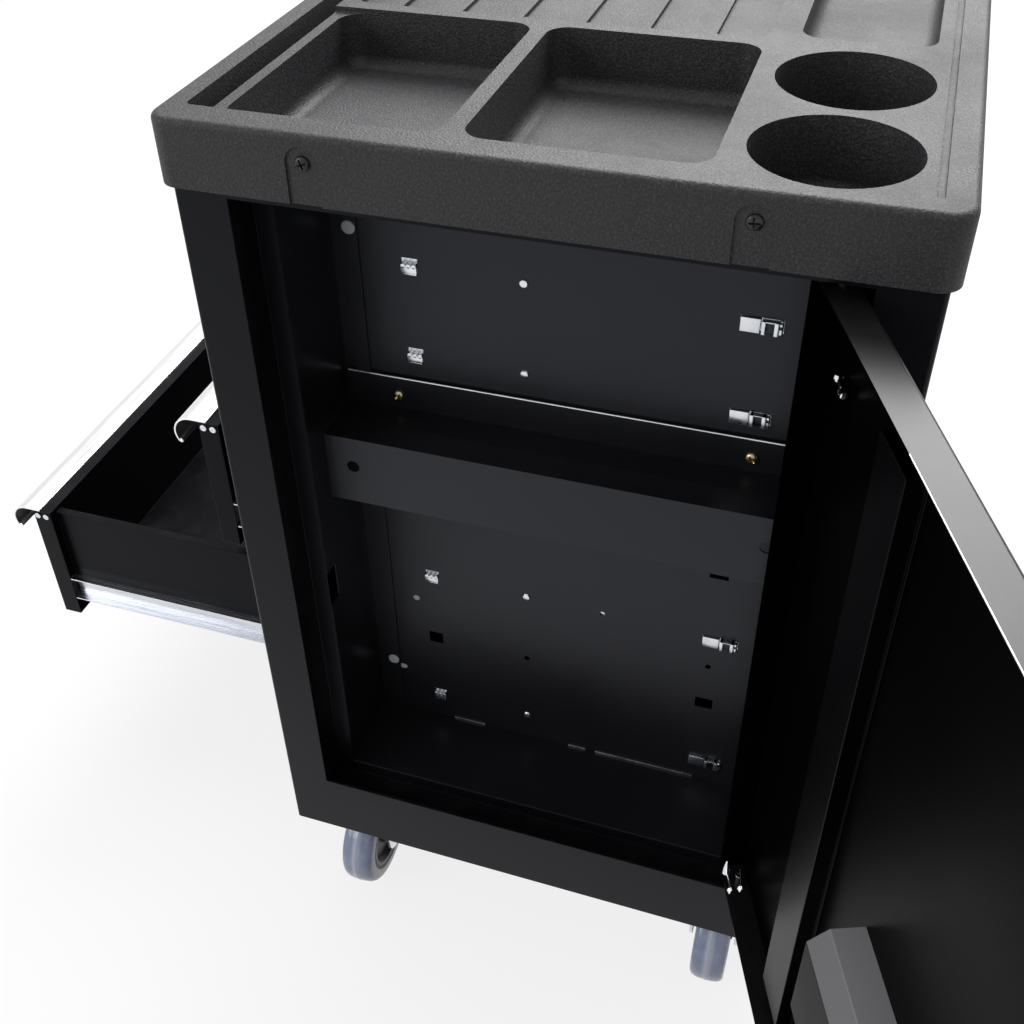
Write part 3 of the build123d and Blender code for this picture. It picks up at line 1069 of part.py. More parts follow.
for index, out in enumerate(DRAWER_OUT):
    number = index + 1
    bottom = front_bottoms[index]
    top = bottom + front_heights[index]
    inside_face = FRONT_THICKNESS - out
    floor = bottom + BOX_RISE
    box_back = inside_face + slide_length

    with BuildPart() as drawer_front:
        slab((front_near, front_far), (-out, inside_face), (bottom, top))
        slab((front_near + FRONT_SHEET, front_far - FRONT_SHEET), (FRONT_SHEET - out, inside_face),
             (bottom + FRONT_SHEET, top - FRONT_SHEET), mode=Mode.SUBTRACT)
        outer_edges = drawer_front.faces().sort_by(Axis.Y)[0].edges()
        fillet(outer_edges.filter_by(Axis.Z), FRONT_SHEET)
        fillet(drawer_front.faces().sort_by(Axis.Y)[0].edges().sort_by(Axis.Z)[0], FRONT_SHEET)
        for column in range(2):
            rivet_back = -out + RIVET_INSET + column * RIVET_PITCH
            rod(place(front_far, rivet_back, top - RIVET_INSET), (1, 0, 0), RIVET_RADIUS,
                front_far - front_near, mode=Mode.SUBTRACT)
    finish(drawer_front.part, f"drawer_front_{number}")

    with BuildPart() as drawer_box:
        side_top = top - BOX_DROP
        slab((box_near, box_far), (inside_face, box_back), (floor, side_top))
        slab((box_near + BOX_SHEET, box_far - BOX_SHEET), (inside_face + BOX_SHEET, box_back - BOX_SHEET),
             (floor + BOX_SHEET, side_top), mode=Mode.SUBTRACT)
        # the wall behind the front reaches right up to the pull
        slab((front_near, front_far), (inside_face, inside_face + BOX_SHEET), (floor, top))
        # hems along the side and back walls
        hem_up = (side_top - HEM_HEIGHT, side_top)
        slab((box_near, box_near + HEM_WIDTH), (inside_face, box_back), hem_up)
        slab((box_far - HEM_WIDTH, box_far), (inside_face, box_back), hem_up)
        slab((box_near, box_far), (box_back - HEM_WIDTH, box_back), hem_up)
    finish(drawer_box.part, f"drawer_box_{number}")

    with BuildPart() as drawer_pull:
        end = place(front_near, -out, top)
        profile = Plane(origin=end, x_dir=(0, -1, 0), z_dir=(-1, 0, 0))
        with BuildSketch(profile):
            with BuildLine():
                lip = radians(90 - PULL_CURL)
                mid = radians(90 - PULL_CURL / 2)
                outer, inner = PULL_RADIUS, PULL_RADIUS - PULL_SHEET
                drop = PULL_RADIUS - PULL_SHEET
                up = -1 if profile.y_dir.Z < 0 else 1

                def on_arc(r, a):
                    return (PULL_FLAT + r * cos(a), up * (r * sin(a) - drop))

                Polyline(on_arc(outer, radians(90)), (-PULL_BEHIND, up * PULL_SHEET), (-PULL_BEHIND, 0),
                         on_arc(inner, radians(90)))
                ThreePointArc(on_arc(inner, radians(90)), on_arc(inner, mid), on_arc(inner, lip))
                Line(on_arc(inner, lip), on_arc(outer, lip))
                ThreePointArc(on_arc(outer, lip), on_arc(outer, mid), on_arc(outer, radians(90)))
            make_face()
        extrude(amount=front_far - front_near)
    finish(drawer_pull.part, f"drawer_pull_{number}")

    with BuildPart() as drawer_hardware:
        for face, way in slide_ends:
            inner_slide(face, way, slide_levels[index], out)
        for column in range(2):
            rivet_back = -out + RIVET_INSET + column * RIVET_PITCH
            for end_in, axis in ((front_near, 1), (front_far, -1)):
                seat = place(end_in, rivet_back, top - RIVET_INSET)
                rod(seat, (axis, 0, 0), RIVET_HEAD_RADIUS, RIVET_HEAD)
                rod(seat, (-axis, 0, 0), RIVET_RADIUS, FRONT_SHEET)
    finish(drawer_hardware.part, f"drawer_hardware_{number}")
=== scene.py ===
import json
from math import cos, pi, radians, sin

import bmesh
import bpy
from mathutils import Matrix, Vector


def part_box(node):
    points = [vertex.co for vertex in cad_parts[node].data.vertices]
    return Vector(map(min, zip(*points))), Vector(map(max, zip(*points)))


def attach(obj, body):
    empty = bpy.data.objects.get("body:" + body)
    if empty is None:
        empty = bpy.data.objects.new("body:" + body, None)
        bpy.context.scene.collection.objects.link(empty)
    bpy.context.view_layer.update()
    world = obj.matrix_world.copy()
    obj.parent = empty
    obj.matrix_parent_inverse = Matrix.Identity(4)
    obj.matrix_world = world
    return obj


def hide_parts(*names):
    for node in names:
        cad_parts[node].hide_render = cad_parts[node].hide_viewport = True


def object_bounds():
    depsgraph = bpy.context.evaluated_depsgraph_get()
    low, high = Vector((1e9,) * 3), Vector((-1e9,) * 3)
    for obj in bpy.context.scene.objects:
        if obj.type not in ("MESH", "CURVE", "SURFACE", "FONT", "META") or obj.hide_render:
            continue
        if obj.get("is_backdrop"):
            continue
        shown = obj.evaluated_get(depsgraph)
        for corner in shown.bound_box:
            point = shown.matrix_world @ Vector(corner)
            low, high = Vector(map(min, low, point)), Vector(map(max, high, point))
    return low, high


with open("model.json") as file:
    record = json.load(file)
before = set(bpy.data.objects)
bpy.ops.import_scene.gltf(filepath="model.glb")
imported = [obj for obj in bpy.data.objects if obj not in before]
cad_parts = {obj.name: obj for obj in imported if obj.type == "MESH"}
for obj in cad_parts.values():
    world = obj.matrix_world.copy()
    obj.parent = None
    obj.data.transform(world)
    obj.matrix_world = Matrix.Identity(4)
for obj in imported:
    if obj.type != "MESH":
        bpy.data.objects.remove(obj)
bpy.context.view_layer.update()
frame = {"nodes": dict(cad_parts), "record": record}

# A steel rolling tool chest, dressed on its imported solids. Metres, +Z up, drawers facing -Y and
# the locker at the +X end.

X, Y, Z = Vector((1, 0, 0)), Vector((0, 1, 0)), Vector((0, 0, 1))
MM = 0.001
homes = {node: body for body, nodes in frame["record"]["behaviour"]["bodies"].items() for node in nodes}


# ---------------------------------------------------------------- shading tools
def socket(owner, key):
    """An input by name; a name shared by several inputs gives the one that's switched on."""
    return next(s for s in owner.inputs if s.name == key and s.enabled)


def node(tree, kind, **values):
    """A shader node with its settings, and its inputs' values, given by name."""
    made = tree.nodes.new(kind)
    for key, value in values.items():
        if hasattr(made, key):
            setattr(made, key, value)
        else:
            socket(made, key.replace("_", " ")).default_value = value
    return made


def wire(tree, source, output, target, key):
    """One node's output joined to another's named input."""
    tree.links.new(source.outputs[output], socket(target, key))


def effect(name, inputs, outputs):
    """An empty node group with named inputs and outputs: (tree, its input node, its output node)."""
    tree = bpy.data.node_groups.new(name, "ShaderNodeTree")
    for key, value in inputs.items():
        made = tree.interface.new_socket(key, in_out="INPUT", socket_type="NodeSocketFloat")
        made.default_value = value
    for key in outputs:
        tree.interface.new_socket(key, in_out="OUTPUT", socket_type="NodeSocketFloat")
    return tree, tree.nodes.new("NodeGroupInput"), tree.nodes.new("NodeGroupOutput")


def powder_skin():
    """The slight peel of powder coat, fine specks in it, and broad uneven gloss."""
    tree, given, out = effect("powder_skin", {"Peel": 420.0, "Speck": 1500.0}, ["Height", "Gloss"])
    at = node(tree, "ShaderNodeTexCoord")
    peel = node(tree, "ShaderNodeTexNoise", Detail=2.0, Roughness=0.45)
    speck = node(tree, "ShaderNodeTexNoise", Detail=1.0)
    gloss = node(tree, "ShaderNodeTexNoise", Scale=5.0, Detail=4.0, Roughness=0.6)
    for texture in (peel, speck, gloss):
        wire(tree, at, "Object", texture, "Vector")
    wire(tree, given, "Peel", peel, "Scale")
    wire(tree, given, "Speck", speck, "Scale")
    both = node(tree, "ShaderNodeMath", operation="MULTIPLY_ADD")
    both.inputs[1].default_value = 0.35
    tree.links.new(speck.outputs["Fac"], both.inputs[0])
    tree.links.new(peel.outputs["Fac"], both.inputs[2])
    spread = node(tree, "ShaderNodeMapRange", From_Min=0.3, From_Max=0.7)
    wire(tree, gloss, "Fac", spread, "Value")
    tree.links.new(both.outputs[0], out.inputs["Height"])
    tree.links.new(spread.outputs[0], out.inputs["Gloss"])
    return tree


def moulded_grain():
    """The etched grain of a moulded plastic: close pits, pale flecks where they catch light, wear."""
    tree, given, out = effect("moulded_grain", {"Grain": 700.0}, ["Height", "Fleck", "Rub"])
    at = node(tree, "ShaderNodeTexCoord")
    pits = node(tree, "ShaderNodeTexVoronoi", feature="SMOOTH_F1", Smoothness=0.6)
    grit = node(tree, "ShaderNodeTexNoise", Detail=3.0, Roughness=0.7)
    rub = node(tree, "ShaderNodeTexNoise", Scale=9.0, Detail=5.0, Roughness=0.65)
    for texture in (pits, grit, rub):
        wire(tree, at, "Object", texture, "Vector")
    wire(tree, given, "Grain", pits, "Scale")
    wire(tree, given, "Grain", grit, "Scale")
    height = node(tree, "ShaderNodeMath", operation="ADD")
    tree.links.new(pits.outputs["Distance"], height.inputs[0])
    tree.links.new(grit.outputs["Fac"], height.inputs[1])
    fleck = node(tree, "ShaderNodeMapRange", From_Min=0.46, From_Max=0.72)
    wire(tree, grit, "Fac", fleck, "Value")
    worn = node(tree, "ShaderNodeMapRange", From_Min=0.42, From_Max=0.7)
    wire(tree, rub, "Fac", worn, "Value")
    tree.links.new(height.outputs[0], out.inputs["Height"])
    tree.links.new(fleck.outputs[0], out.inputs["Fleck"])
    tree.links.new(worn.outputs[0], out.inputs["Rub"])
    return tree


def drawn_lines(along):
    """Fine lines drawn along one direction of a metal, as brushing and rolling leave."""
    tree, given, out = effect("drawn_lines_" + "xyz"[along], {"Fineness": 900.0}, ["Height", "Line"])
    at = node(tree, "ShaderNodeTexCoord")
    squeeze = node(tree, "ShaderNodeMapping")
    squeeze.inputs["Scale"].default_value = [0.012 if axis == along else 1.0 for axis in range(3)]
    lines = node(tree, "ShaderNodeTexNoise", Detail=3.0, Roughness=0.65)
    wire(tree, at, "Object", squeeze, "Vector")
    wire(tree, squeeze, "Vector", lines, "Vector")
    wire(tree, given, "Fineness", lines, "Scale")
    spread = node(tree, "ShaderNodeMapRange", From_Min=0.35, From_Max=0.65)
    wire(tree, lines, "Fac", spread, "Value")
    tree.links.new(lines.outputs["Fac"], out.inputs["Height"])
    tree.links.new(spread.outputs[0], out.inputs["Line"])
    return tree


def plated_cloud():
    """The cloudy brightness of zinc plate."""
    tree, given, out = effect("plated_cloud", {"Size": 60.0}, ["Cloud", "Height"])
    at = node(tree, "ShaderNodeTexCoord")
    cloud = node(tree, "ShaderNodeTexNoise", Detail=5.0, Roughness=0.6)
    fine = node(tree, "ShaderNodeTexNoise", Scale=900.0, Detail=2.0)
    wire(tree, at, "Object", cloud, "Vector")
    wire(tree, at, "Object", fine, "Vector")
    wire(tree, given, "Size", cloud, "Scale")
    spread = node(tree, "ShaderNodeMapRange", From_Min=0.35, From_Max=0.65)
    wire(tree, cloud, "Fac", spread, "Value")
    tree.links.new(spread.outputs[0], out.inputs["Cloud"])
    tree.links.new(fine.outputs["Fac"], out.inputs["Height"])
    return tree


def settled_dust_and_up():
    """Dust that lies on what faces up, and how far a face looks up, which also leads the painted light on
    some coats' tops.
    """
    tree, given, out = effect("settled_dust_and_up", {"Amount": 0.3}, ["Dust", "Up"])
    at = node(tree, "ShaderNodeTexCoord")
    facing = node(tree, "ShaderNodeNewGeometry")
    parts = node(tree, "ShaderNodeSeparateXYZ")
    patches = node(tree, "ShaderNodeTexNoise", Scale=30.0, Detail=6.0, Roughness=0.7)
    wire(tree, at, "Object", patches, "Vector")
    tree.links.new(facing.outputs["Normal"], parts.inputs[0])
    up = node(tree, "ShaderNodeMapRange", From_Min=0.6, From_Max=1.0)
    wire(tree, parts, "Z", up, "Value")
    thin = node(tree, "ShaderNodeMapRange", From_Min=0.45, From_Max=0.75)
    wire(tree, patches, "Fac", thin, "Value")
    lying = node(tree, "ShaderNodeMath", operation="MULTIPLY")
    tree.links.new(up.outputs[0], lying.inputs[0])
    tree.links.new(thin.outputs[0], lying.inputs[1])
    amount = node(tree, "ShaderNodeMath", operation="MULTIPLY")
    tree.links.new(lying.outputs[0], amount.inputs[0])
    tree.links.new(given.outputs["Amount"], amount.inputs[1])
    tree.links.new(amount.outputs[0], out.inputs["Dust"])
    sloped = node(tree, "ShaderNodeMapRange", From_Min=0.3, From_Max=0.8)
    wire(tree, parts, "Z", sloped, "Value")
    tree.links.new(sloped.outputs[0], out.inputs["Up"])
    return tree


POWDER, GRAIN, DUST_AND_UP, CLOUD = powder_skin(), moulded_grain(), settled_dust_and_up(), plated_cloud()
LINES_X, LINES_Y = drawn_lines(0), drawn_lines(1)


def finish_of(name, roughness, **sockets):
    """A new material with its Principled shader: (material, tree, shader)."""
    material = bpy.data.materials.new(name)
    material.use_nodes = True
    tree = material.node_tree
    shader = tree.nodes["Principled BSDF"]
    shader.inputs["Roughness"].default_value = roughness
    for key, value in sockets.items():
        shader.inputs[key.replace("_", " ")].default_value = value
    return material, tree, shader


def placed(tree, group, **values):
    """A node group set into a material with its own values."""
    made = tree.nodes.new("ShaderNodeGroup")
    made.node_tree = group
    for key, value in values.items():
        made.inputs[key].default_value = value
    return made


def tint(tree, mask, low, high, shader=None):
    """Two colours mixed by a mask, as the shader's colour where one is given."""
    mix = node(tree, "ShaderNodeMix", data_type="RGBA")
    socket(mix, "A").default_value = (*low, 1)
    socket(mix, "B").default_value = (*high, 1)
    tree.links.new(mask, mix.inputs["Factor"])
    result = next(s for s in mix.outputs if s.name == "Result" and s.enabled)
    if shader is not None:
        tree.links.new(result, shader.inputs["Base Color"])
    return result


def laid_over(tree, mask, under, colour):
    """A plain colour laid over another colour's socket where a mask says."""
    mix = node(tree, "ShaderNodeMix", data_type="RGBA")
    tree.links.new(under, socket(mix, "A"))
    socket(mix, "B").default_value = (*colour, 1)
    tree.links.new(mask, mix.inputs["Factor"])
    return next(s for s in mix.outputs if s.name == "Result" and s.enabled)


def vary(tree, mask, low, high, shader):
    """The shader's roughness led between two values by a mask."""
    span = node(tree, "ShaderNodeMapRange", To_Min=low, To_Max=high)
    tree.links.new(mask, socket(span, "Value"))
    tree.links.new(span.outputs[0], shader.inputs["Roughness"])


def relief(tree, height, depth, strength, shader):
    """Fine relief from a height, depth metres deep."""
    bump = node(tree, "ShaderNodeBump", Strength=strength, Distance=depth)
    tree.links.new(height, bump.inputs["Height"])
    tree.links.new(bump.outputs["Normal"], shader.inputs["Normal"])


OUTSIDE_COLOUR, OUTSIDE_POLISH = (0.0052, 0.0052, 0.0070), 0.22    # the door's outside, in about the black coat's own colour over the door's painted shade


def facing_way(tree, way, least, most):
    """How far a face looks a way of the piece: 0 at the least cosine, 1 at the most."""
    at = node(tree, "ShaderNodeTexCoord")
    along = node(tree, "ShaderNodeVectorMath", operation="DOT_PRODUCT")
    along.inputs[1].default_value = way
    tree.links.new(at.outputs["Normal"], along.inputs[0])
    span = node(tree, "ShaderNodeMapRange", From_Min=least, From_Max=most)
    tree.links.new(along.outputs["Value"], socket(span, "Value"))
    return span.outputs[0]


def powder_coat(name, low, high, rough, specular, dust=0.05, painted_lit_top=None, outer=None):
    """Satin black powder coat on sheet steel.

    The lit top is the polish and colour of what faces up, its colour painted light on tops; outer is the way
    the outside of a door faces.
    """
    material, tree, shader = finish_of(name, rough[0], Specular_IOR_Level=specular,
                                       Specular_Tint=(0.84, 0.88, 1.0, 1), Coat_Roughness=rough[0])
    skin = placed(tree, POWDER)
    dust_and_up_mask = placed(tree, DUST_AND_UP, Amount=dust)
    under = tint(tree, skin.outputs["Gloss"], low, high)
    # Faces that look up take a lighter colour here: painted light on tops.
    if painted_lit_top is not None:
        under = laid_over(tree, dust_and_up_mask.outputs["Up"], under, painted_lit_top[1])
        polish = node(tree, "ShaderNodeMapRange", To_Max=painted_lit_top[0])
        wire(tree, dust_and_up_mask, "Up", polish, "Value")
        polished = polish.outputs[0]
        if outer is not None:
            # The door's outside keeps about the black coat's own colour, over the door's painted shade.
            outside = facing_way(tree, outer, 0.5, 0.7)
            under = laid_over(tree, outside, under, OUTSIDE_COLOUR)
            gloss = node(tree, "ShaderNodeMapRange", To_Max=OUTSIDE_POLISH)
            tree.links.new(outside, socket(gloss, "Value"))
            larger = node(tree, "ShaderNodeMath", operation="MAXIMUM")
            tree.links.new(polished, larger.inputs[0])
            tree.links.new(gloss.outputs[0], larger.inputs[1])
            polished = larger.outputs[0]
        tree.links.new(polished, shader.inputs["Coat Weight"])
    dusty = laid_over(tree, dust_and_up_mask.outputs["Dust"], under, (0.16, 0.155, 0.15))
    tree.links.new(dusty, shader.inputs["Base Color"])
    vary(tree, skin.outputs["Gloss"], rough[0], rough[1], shader)
    relief(tree, skin.outputs["Height"], 0.0004, 0.10, shader)
    return material


def grained_plastic(name, low, high, rough, strength=0.35):
    """Moulded black plastic with an etched grain."""
    material, tree, shader = finish_of(name, rough[0], Specular_IOR_Level=0.35)
    grain = placed(tree, GRAIN)
    dust_and_up_mask = placed(tree, DUST_AND_UP, Amount=0.10)
    under = tint(tree, grain.outputs["Fleck"], low, high)
    dusty = laid_over(tree, dust_and_up_mask.outputs["Dust"], under, (0.15, 0.15, 0.148))
    tree.links.new(dusty, shader.inputs["Base Color"])
    vary(tree, grain.outputs["Rub"], rough[0], rough[1], shader)
    relief(tree, grain.outputs["Height"], 0.0008, strength, shader)
    return material


def drawn_metal(name, low, high, rough, lines, strength=0.08):
    """Brushed or rolled metal with its lines along one direction."""
    material, tree, shader = finish_of(name, rough[0], Metallic=1.0)
    drawn = placed(tree, lines)
    tint(tree, drawn.outputs["Line"], low, high, shader)
    vary(tree, drawn.outputs["Line"], rough[0], rough[1], shader)
    relief(tree, drawn.outputs["Height"], 0.0003, strength, shader)
    return material


def plated(name, low, high, rough, size=60.0, metallic=1.0):
    """Zinc, chrome or brass plate with a cloudy brightness."""
    material, tree, shader = finish_of(name, rough[0], Metallic=metallic)
    cloud = placed(tree, CLOUD, Size=size)
    tint(tree, cloud.outputs["Cloud"], low, high, shader)
    vary(tree, cloud.outputs["Cloud"], rough[0], rough[1], shader)
    relief(tree, cloud.outputs["Height"], 0.0001, 0.08, shader)
    return material


def soft_tread():
    """Bluish translucent polyurethane, paler in a band round the middle of its tread."""
    material, tree, shader = finish_of(
        "bluish_polyurethane", 0.2, Transmission_Weight=0.18, IOR=1.49, Specular_IOR_Level=0.6,
        Subsurface_Weight=0.25, Subsurface_Scale=0.004,
    )
    spread = node(tree, "ShaderNodeUVMap", uv_map="round")
    parts = node(tree, "ShaderNodeSeparateXYZ")
    tree.links.new(spread.outputs["UV"], parts.inputs[0])
    off = node(tree, "ShaderNodeMath", operation="SUBTRACT")
    tree.links.new(parts.outputs["Y"], off.inputs[0])
    off.inputs[1].default_value = 0.5
    away = node(tree, "ShaderNodeMath", operation="ABSOLUTE")
    tree.links.new(off.outputs[0], away.inputs[0])
    band = node(tree, "ShaderNodeMapRange", From_Min=0.03, From_Max=0.16, To_Min=1.0, To_Max=0.0)
    wire(tree, away, 0, band, "Value")
    cloud = placed(tree, CLOUD, Size=45.0)
    mask = node(tree, "ShaderNodeMath", operation="MULTIPLY_ADD")
    mask.inputs[1].default_value = 0.45
    tree.links.new(cloud.outputs["Cloud"], mask.inputs[0])
    tree.links.new(band.outputs[0], mask.inputs[2])
    tint(tree, mask.outputs[0], (0.25, 0.31, 0.50), (0.62, 0.66, 0.82), shader)
    vary(tree, cloud.outputs["Cloud"], 0.14, 0.26, shader)
    relief(tree, cloud.outputs["Height"], 0.0002, 0.1, shader)
    return material


stands = radians(21.5)          # how far the open door stands round from the cabinet's length
along_door, into_door = Vector((cos(stands), sin(stands), 0)), Vector((sin(stands), -cos(stands), 0))

# Each finish: darkest and palest colour, then smoothest and roughest. Powder coats go on with their
# polish, the dust on what faces up, and the (polish, colour) of what faces up, that colour painted light.
coat = powder_coat(
    "black_powder_coat", (0.0040, 0.0040, 0.0056), (0.0062, 0.0062, 0.0082), (0.32, 0.44), 0.13)
# A copy of the black coat painted lighter: painted light on the locker's inside.
coat_inside_painted_light = powder_coat(
    "black_powder_coat_inside_painted_light", (0.0080, 0.0080, 0.0100), (0.0115, 0.0115, 0.0140), (0.30, 0.40), 0.33, 0.02)
# A copy of the black coat painted far darker: painted shade on the door, its tops painted lighter.
coat_door_painted_shade = powder_coat(
    "black_powder_coat_door_painted_shade", (0.0005, 0.0005, 0.0007), (0.0010, 0.0010, 0.0014), (0.32, 0.40), 0.018, 0.04,
    (0.70, (0.0050, 0.0050, 0.0060)), tuple(-into_door))
# A copy of the black coat painted darker: painted shade on the door's stiffener.
coat_stiffener_painted_shade = powder_coat(
    "black_powder_coat_stiffener_painted_shade", (0.0008, 0.0008, 0.0011), (0.0014, 0.0014, 0.0018), (0.30, 0.38), 0.08,
    0.04)
# The handle cup with its tops painted pale grey: painted light on what faces up.
cup_black_painted_top_light = powder_coat(
    "satin_black_cup_painted_top_light", (0.0010, 0.0010, 0.0012), (0.0020, 0.0020, 0.0024), (0.40, 0.50), 0.04, 0.05,
    (1.0, (0.20, 0.20, 0.212)))
# A copy of the black coat painted darker: painted shade on the drawers.
coat_drawer_painted_shade = powder_coat(
    "black_powder_coat_drawer_painted_shade", (0.0022, 0.0022, 0.0030), (0.0036, 0.0036, 0.0048), (0.30, 0.40), 0.08)
tray_black = grained_plastic(
    "grained_black_plastic", (0.018, 0.018, 0.020), (0.075, 0.075, 0.080), (0.5, 0.62))
core_dark = grained_plastic(
    "dark_grey_core", (0.020, 0.020, 0.022), (0.036, 0.036, 0.040), (0.42, 0.52), 0.12)
core_pale = grained_plastic(
    "pale_grey_core", (0.26, 0.26, 0.27), (0.36, 0.36, 0.37), (0.42, 0.52), 0.1)
aluminium = drawn_metal("brushed_aluminium", (0.80, 0.80, 0.81), (0.93, 0.93, 0.935), (0.30, 0.42), LINES_X)
zinc_rolled = drawn_metal("rolled_zinc_steel", (0.55, 0.57, 0.62), (0.80, 0.82, 0.86), (0.20, 0.32), LINES_Y)
zinc = plated("bright_zinc_plate", (0.62, 0.64, 0.68), (0.82, 0.84, 0.87), (0.20, 0.34))
chrome = plated("polished_chrome", (0.78, 0.79, 0.81), (0.86, 0.87, 0.89), (0.06, 0.12))
brass_screw = plated("yellow_zinc_plate", (0.44, 0.36, 0.20), (0.60, 0.50, 0.30), (0.25, 0.36))
black_oxide = plated(
    "black_oxide_steel", (0.020, 0.020, 0.022), (0.050, 0.050, 0.055), (0.28, 0.42), 200.0, 0.7)
# A dark finish for the clips' openings and hole: painted shade.
opening_shade_dark = plated(
    "painted_opening_shade", (0.010, 0.018, 0.020), (0.022, 0.034, 0.036), (0.25, 0.38), 90.0, 0.6)
tread_blue = soft_tread()
# A pale white for the pieces that paint the glints in the strip's holes.
glint_white = finish_of("painted_glint_white", 0.45, Base_Color=(0.80, 0.82, 0.86, 1), Subsurface_Weight=0.2,
                  Subsurface_Scale=0.002)[0]


# ---------------------------------------------------------------- making tools
def keep(bm, name, body, material, replaces=(), smooth=35, flip=True, weighted=False):
    """A finished shape as a piece that rides on a body."""
    if flip:
        bmesh.ops.recalc_face_normals(bm, faces=bm.faces)
    mesh = bpy.data.meshes.new(name)
    bm.to_mesh(mesh)
    bm.free()
    mesh.shade_smooth()
    mesh.set_sharp_from_angle(angle=radians(smooth))
    mesh.materials.append(material)
    piece = bpy.data.objects.new(name, mesh)
    bpy.context.scene.collection.objects.link(piece)
    if weighted:
        even = piece.modifiers.new("even_shading", "WEIGHTED_NORMAL")
        even.keep_sharp = True
    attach(piece, body)
    if replaces:
        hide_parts(*replaces)
    return piece


def gather(bm, other, matrix=Matrix.Identity(4)):
    """Put one shape into another, moved by a matrix."""
    mesh = bpy.data.meshes.new("loose")
    other.to_mesh(mesh)
    other.free()
    mesh.transform(matrix)
    bm.from_mesh(mesh)
    bpy.data.meshes.remove(mesh)


def merged(name):
    """A joined-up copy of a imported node's shape."""
    bm = bmesh.new()
    bm.from_mesh(frame["nodes"][name].data)
    bmesh.ops.remove_doubles(bm, verts=bm.verts, dist=1e-6)
    bmesh.ops.dissolve_degenerate(bm, dist=1e-7, edges=bm.edges)
    return bm


def solids(name):
    """The (low, high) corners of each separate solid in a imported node, in order of place."""
    bm = merged(name)
    left, boxes = set(bm.verts), []
    while left:
        stack = [left.pop()]
        found = []
        while stack:
            vert = stack.pop()
            found.append(vert.co)
            for edge in vert.link_edges:
                other = edge.other_vert(vert)
                if other in left:
                    left.remove(other)
                    stack.append(other)
        boxes.append((Vector(map(min, *found)), Vector(map(max, *found))))
    bm.free()
    return sorted(boxes, key=lambda box: tuple(box[0]))


def softened(name, material, radius, steps=2, corner=30, wide=None, wide_radius=0.0):
    """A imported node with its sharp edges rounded: its radius, or a wider one where wide() says."""
    bm = merged(name)
    bmesh.ops.dissolve_limit(bm, angle_limit=radians(0.6), verts=bm.verts, edges=bm.edges)
    groups = {radius: [], None: []}
    for edge in bm.edges:
        if len(edge.link_faces) == 2 and edge.calc_face_angle(0) > radians(corner):
            groups[None if wide and wide(edge) else radius].append(edge)
    if groups[None]:
        bmesh.ops.bevel(bm, geom=groups[None], offset=wide_radius, segments=4, affect="EDGES", profile=0.5,
                        material=-1, clamp_overlap=True)
        groups[radius] = [e for e in groups[radius] if e.is_valid]
    bmesh.ops.bevel(bm, geom=groups[radius], offset=radius, segments=steps, affect="EDGES", profile=0.5,
                    material=-1, clamp_overlap=True)
    return keep(bm, "soft_" + name, homes[name], material, [name], flip=False, weighted=True)


def in_mm(*points):
    """Points of an outline given in mm."""
    return [(radius * MM, along * MM) for radius, along in points]


def turned(outline, centre, axis, steps=64):
    """An outline of (radius, along) points spun round an axis."""
    bm = bmesh.new()
    side = axis.orthogonal().normalized()
    points = [bm.verts.new(centre + side * r + axis * a) for r, a in outline]
    pairs = list(zip(points, points[1:]))
    if outline[0][0] > 0 or outline[-1][0] > 0:
        pairs.append((points[-1], points[0]))
    edges = [bm.edges.new(pair) for pair in pairs]
    bmesh.ops.spin(bm, geom=points + edges, cent=centre, axis=axis, angle=2 * pi, steps=steps,
                   use_merge=True)
    bmesh.ops.remove_doubles(bm, verts=bm.verts, dist=1e-6)
    bmesh.ops.dissolve_degenerate(bm, dist=1e-7, edges=bm.edges)
    bmesh.ops.recalc_face_normals(bm, faces=bm.faces)
    return bm


def block(low, high, round_off=0.0, steps=2):
    """A block between two corners, with its edges rounded."""
    bm = bmesh.new()
    low, high = Vector(low), Vector(high)
    bmesh.ops.create_cube(bm, size=1.0)
    bmesh.ops.scale(bm, vec=high - low, verts=bm.verts)
    bmesh.ops.translate(bm, vec=(low + high) / 2, verts=bm.verts)
    if round_off:
        bmesh.ops.bevel(bm, geom=bm.edges[:], offset=round_off, segments=steps, affect="EDGES", profile=0.5,
                        material=-1)
    return bm


def facing(seat, axis, spin=0.0):
    """The matrix that stands a shape made along +Z on a seat, along an axis."""
    upright = axis.to_track_quat("Z", "Y").to_matrix().to_4x4()
    return Matrix.Translation(seat) @ upright @ Matrix.Rotation(spin, 4, "Z")


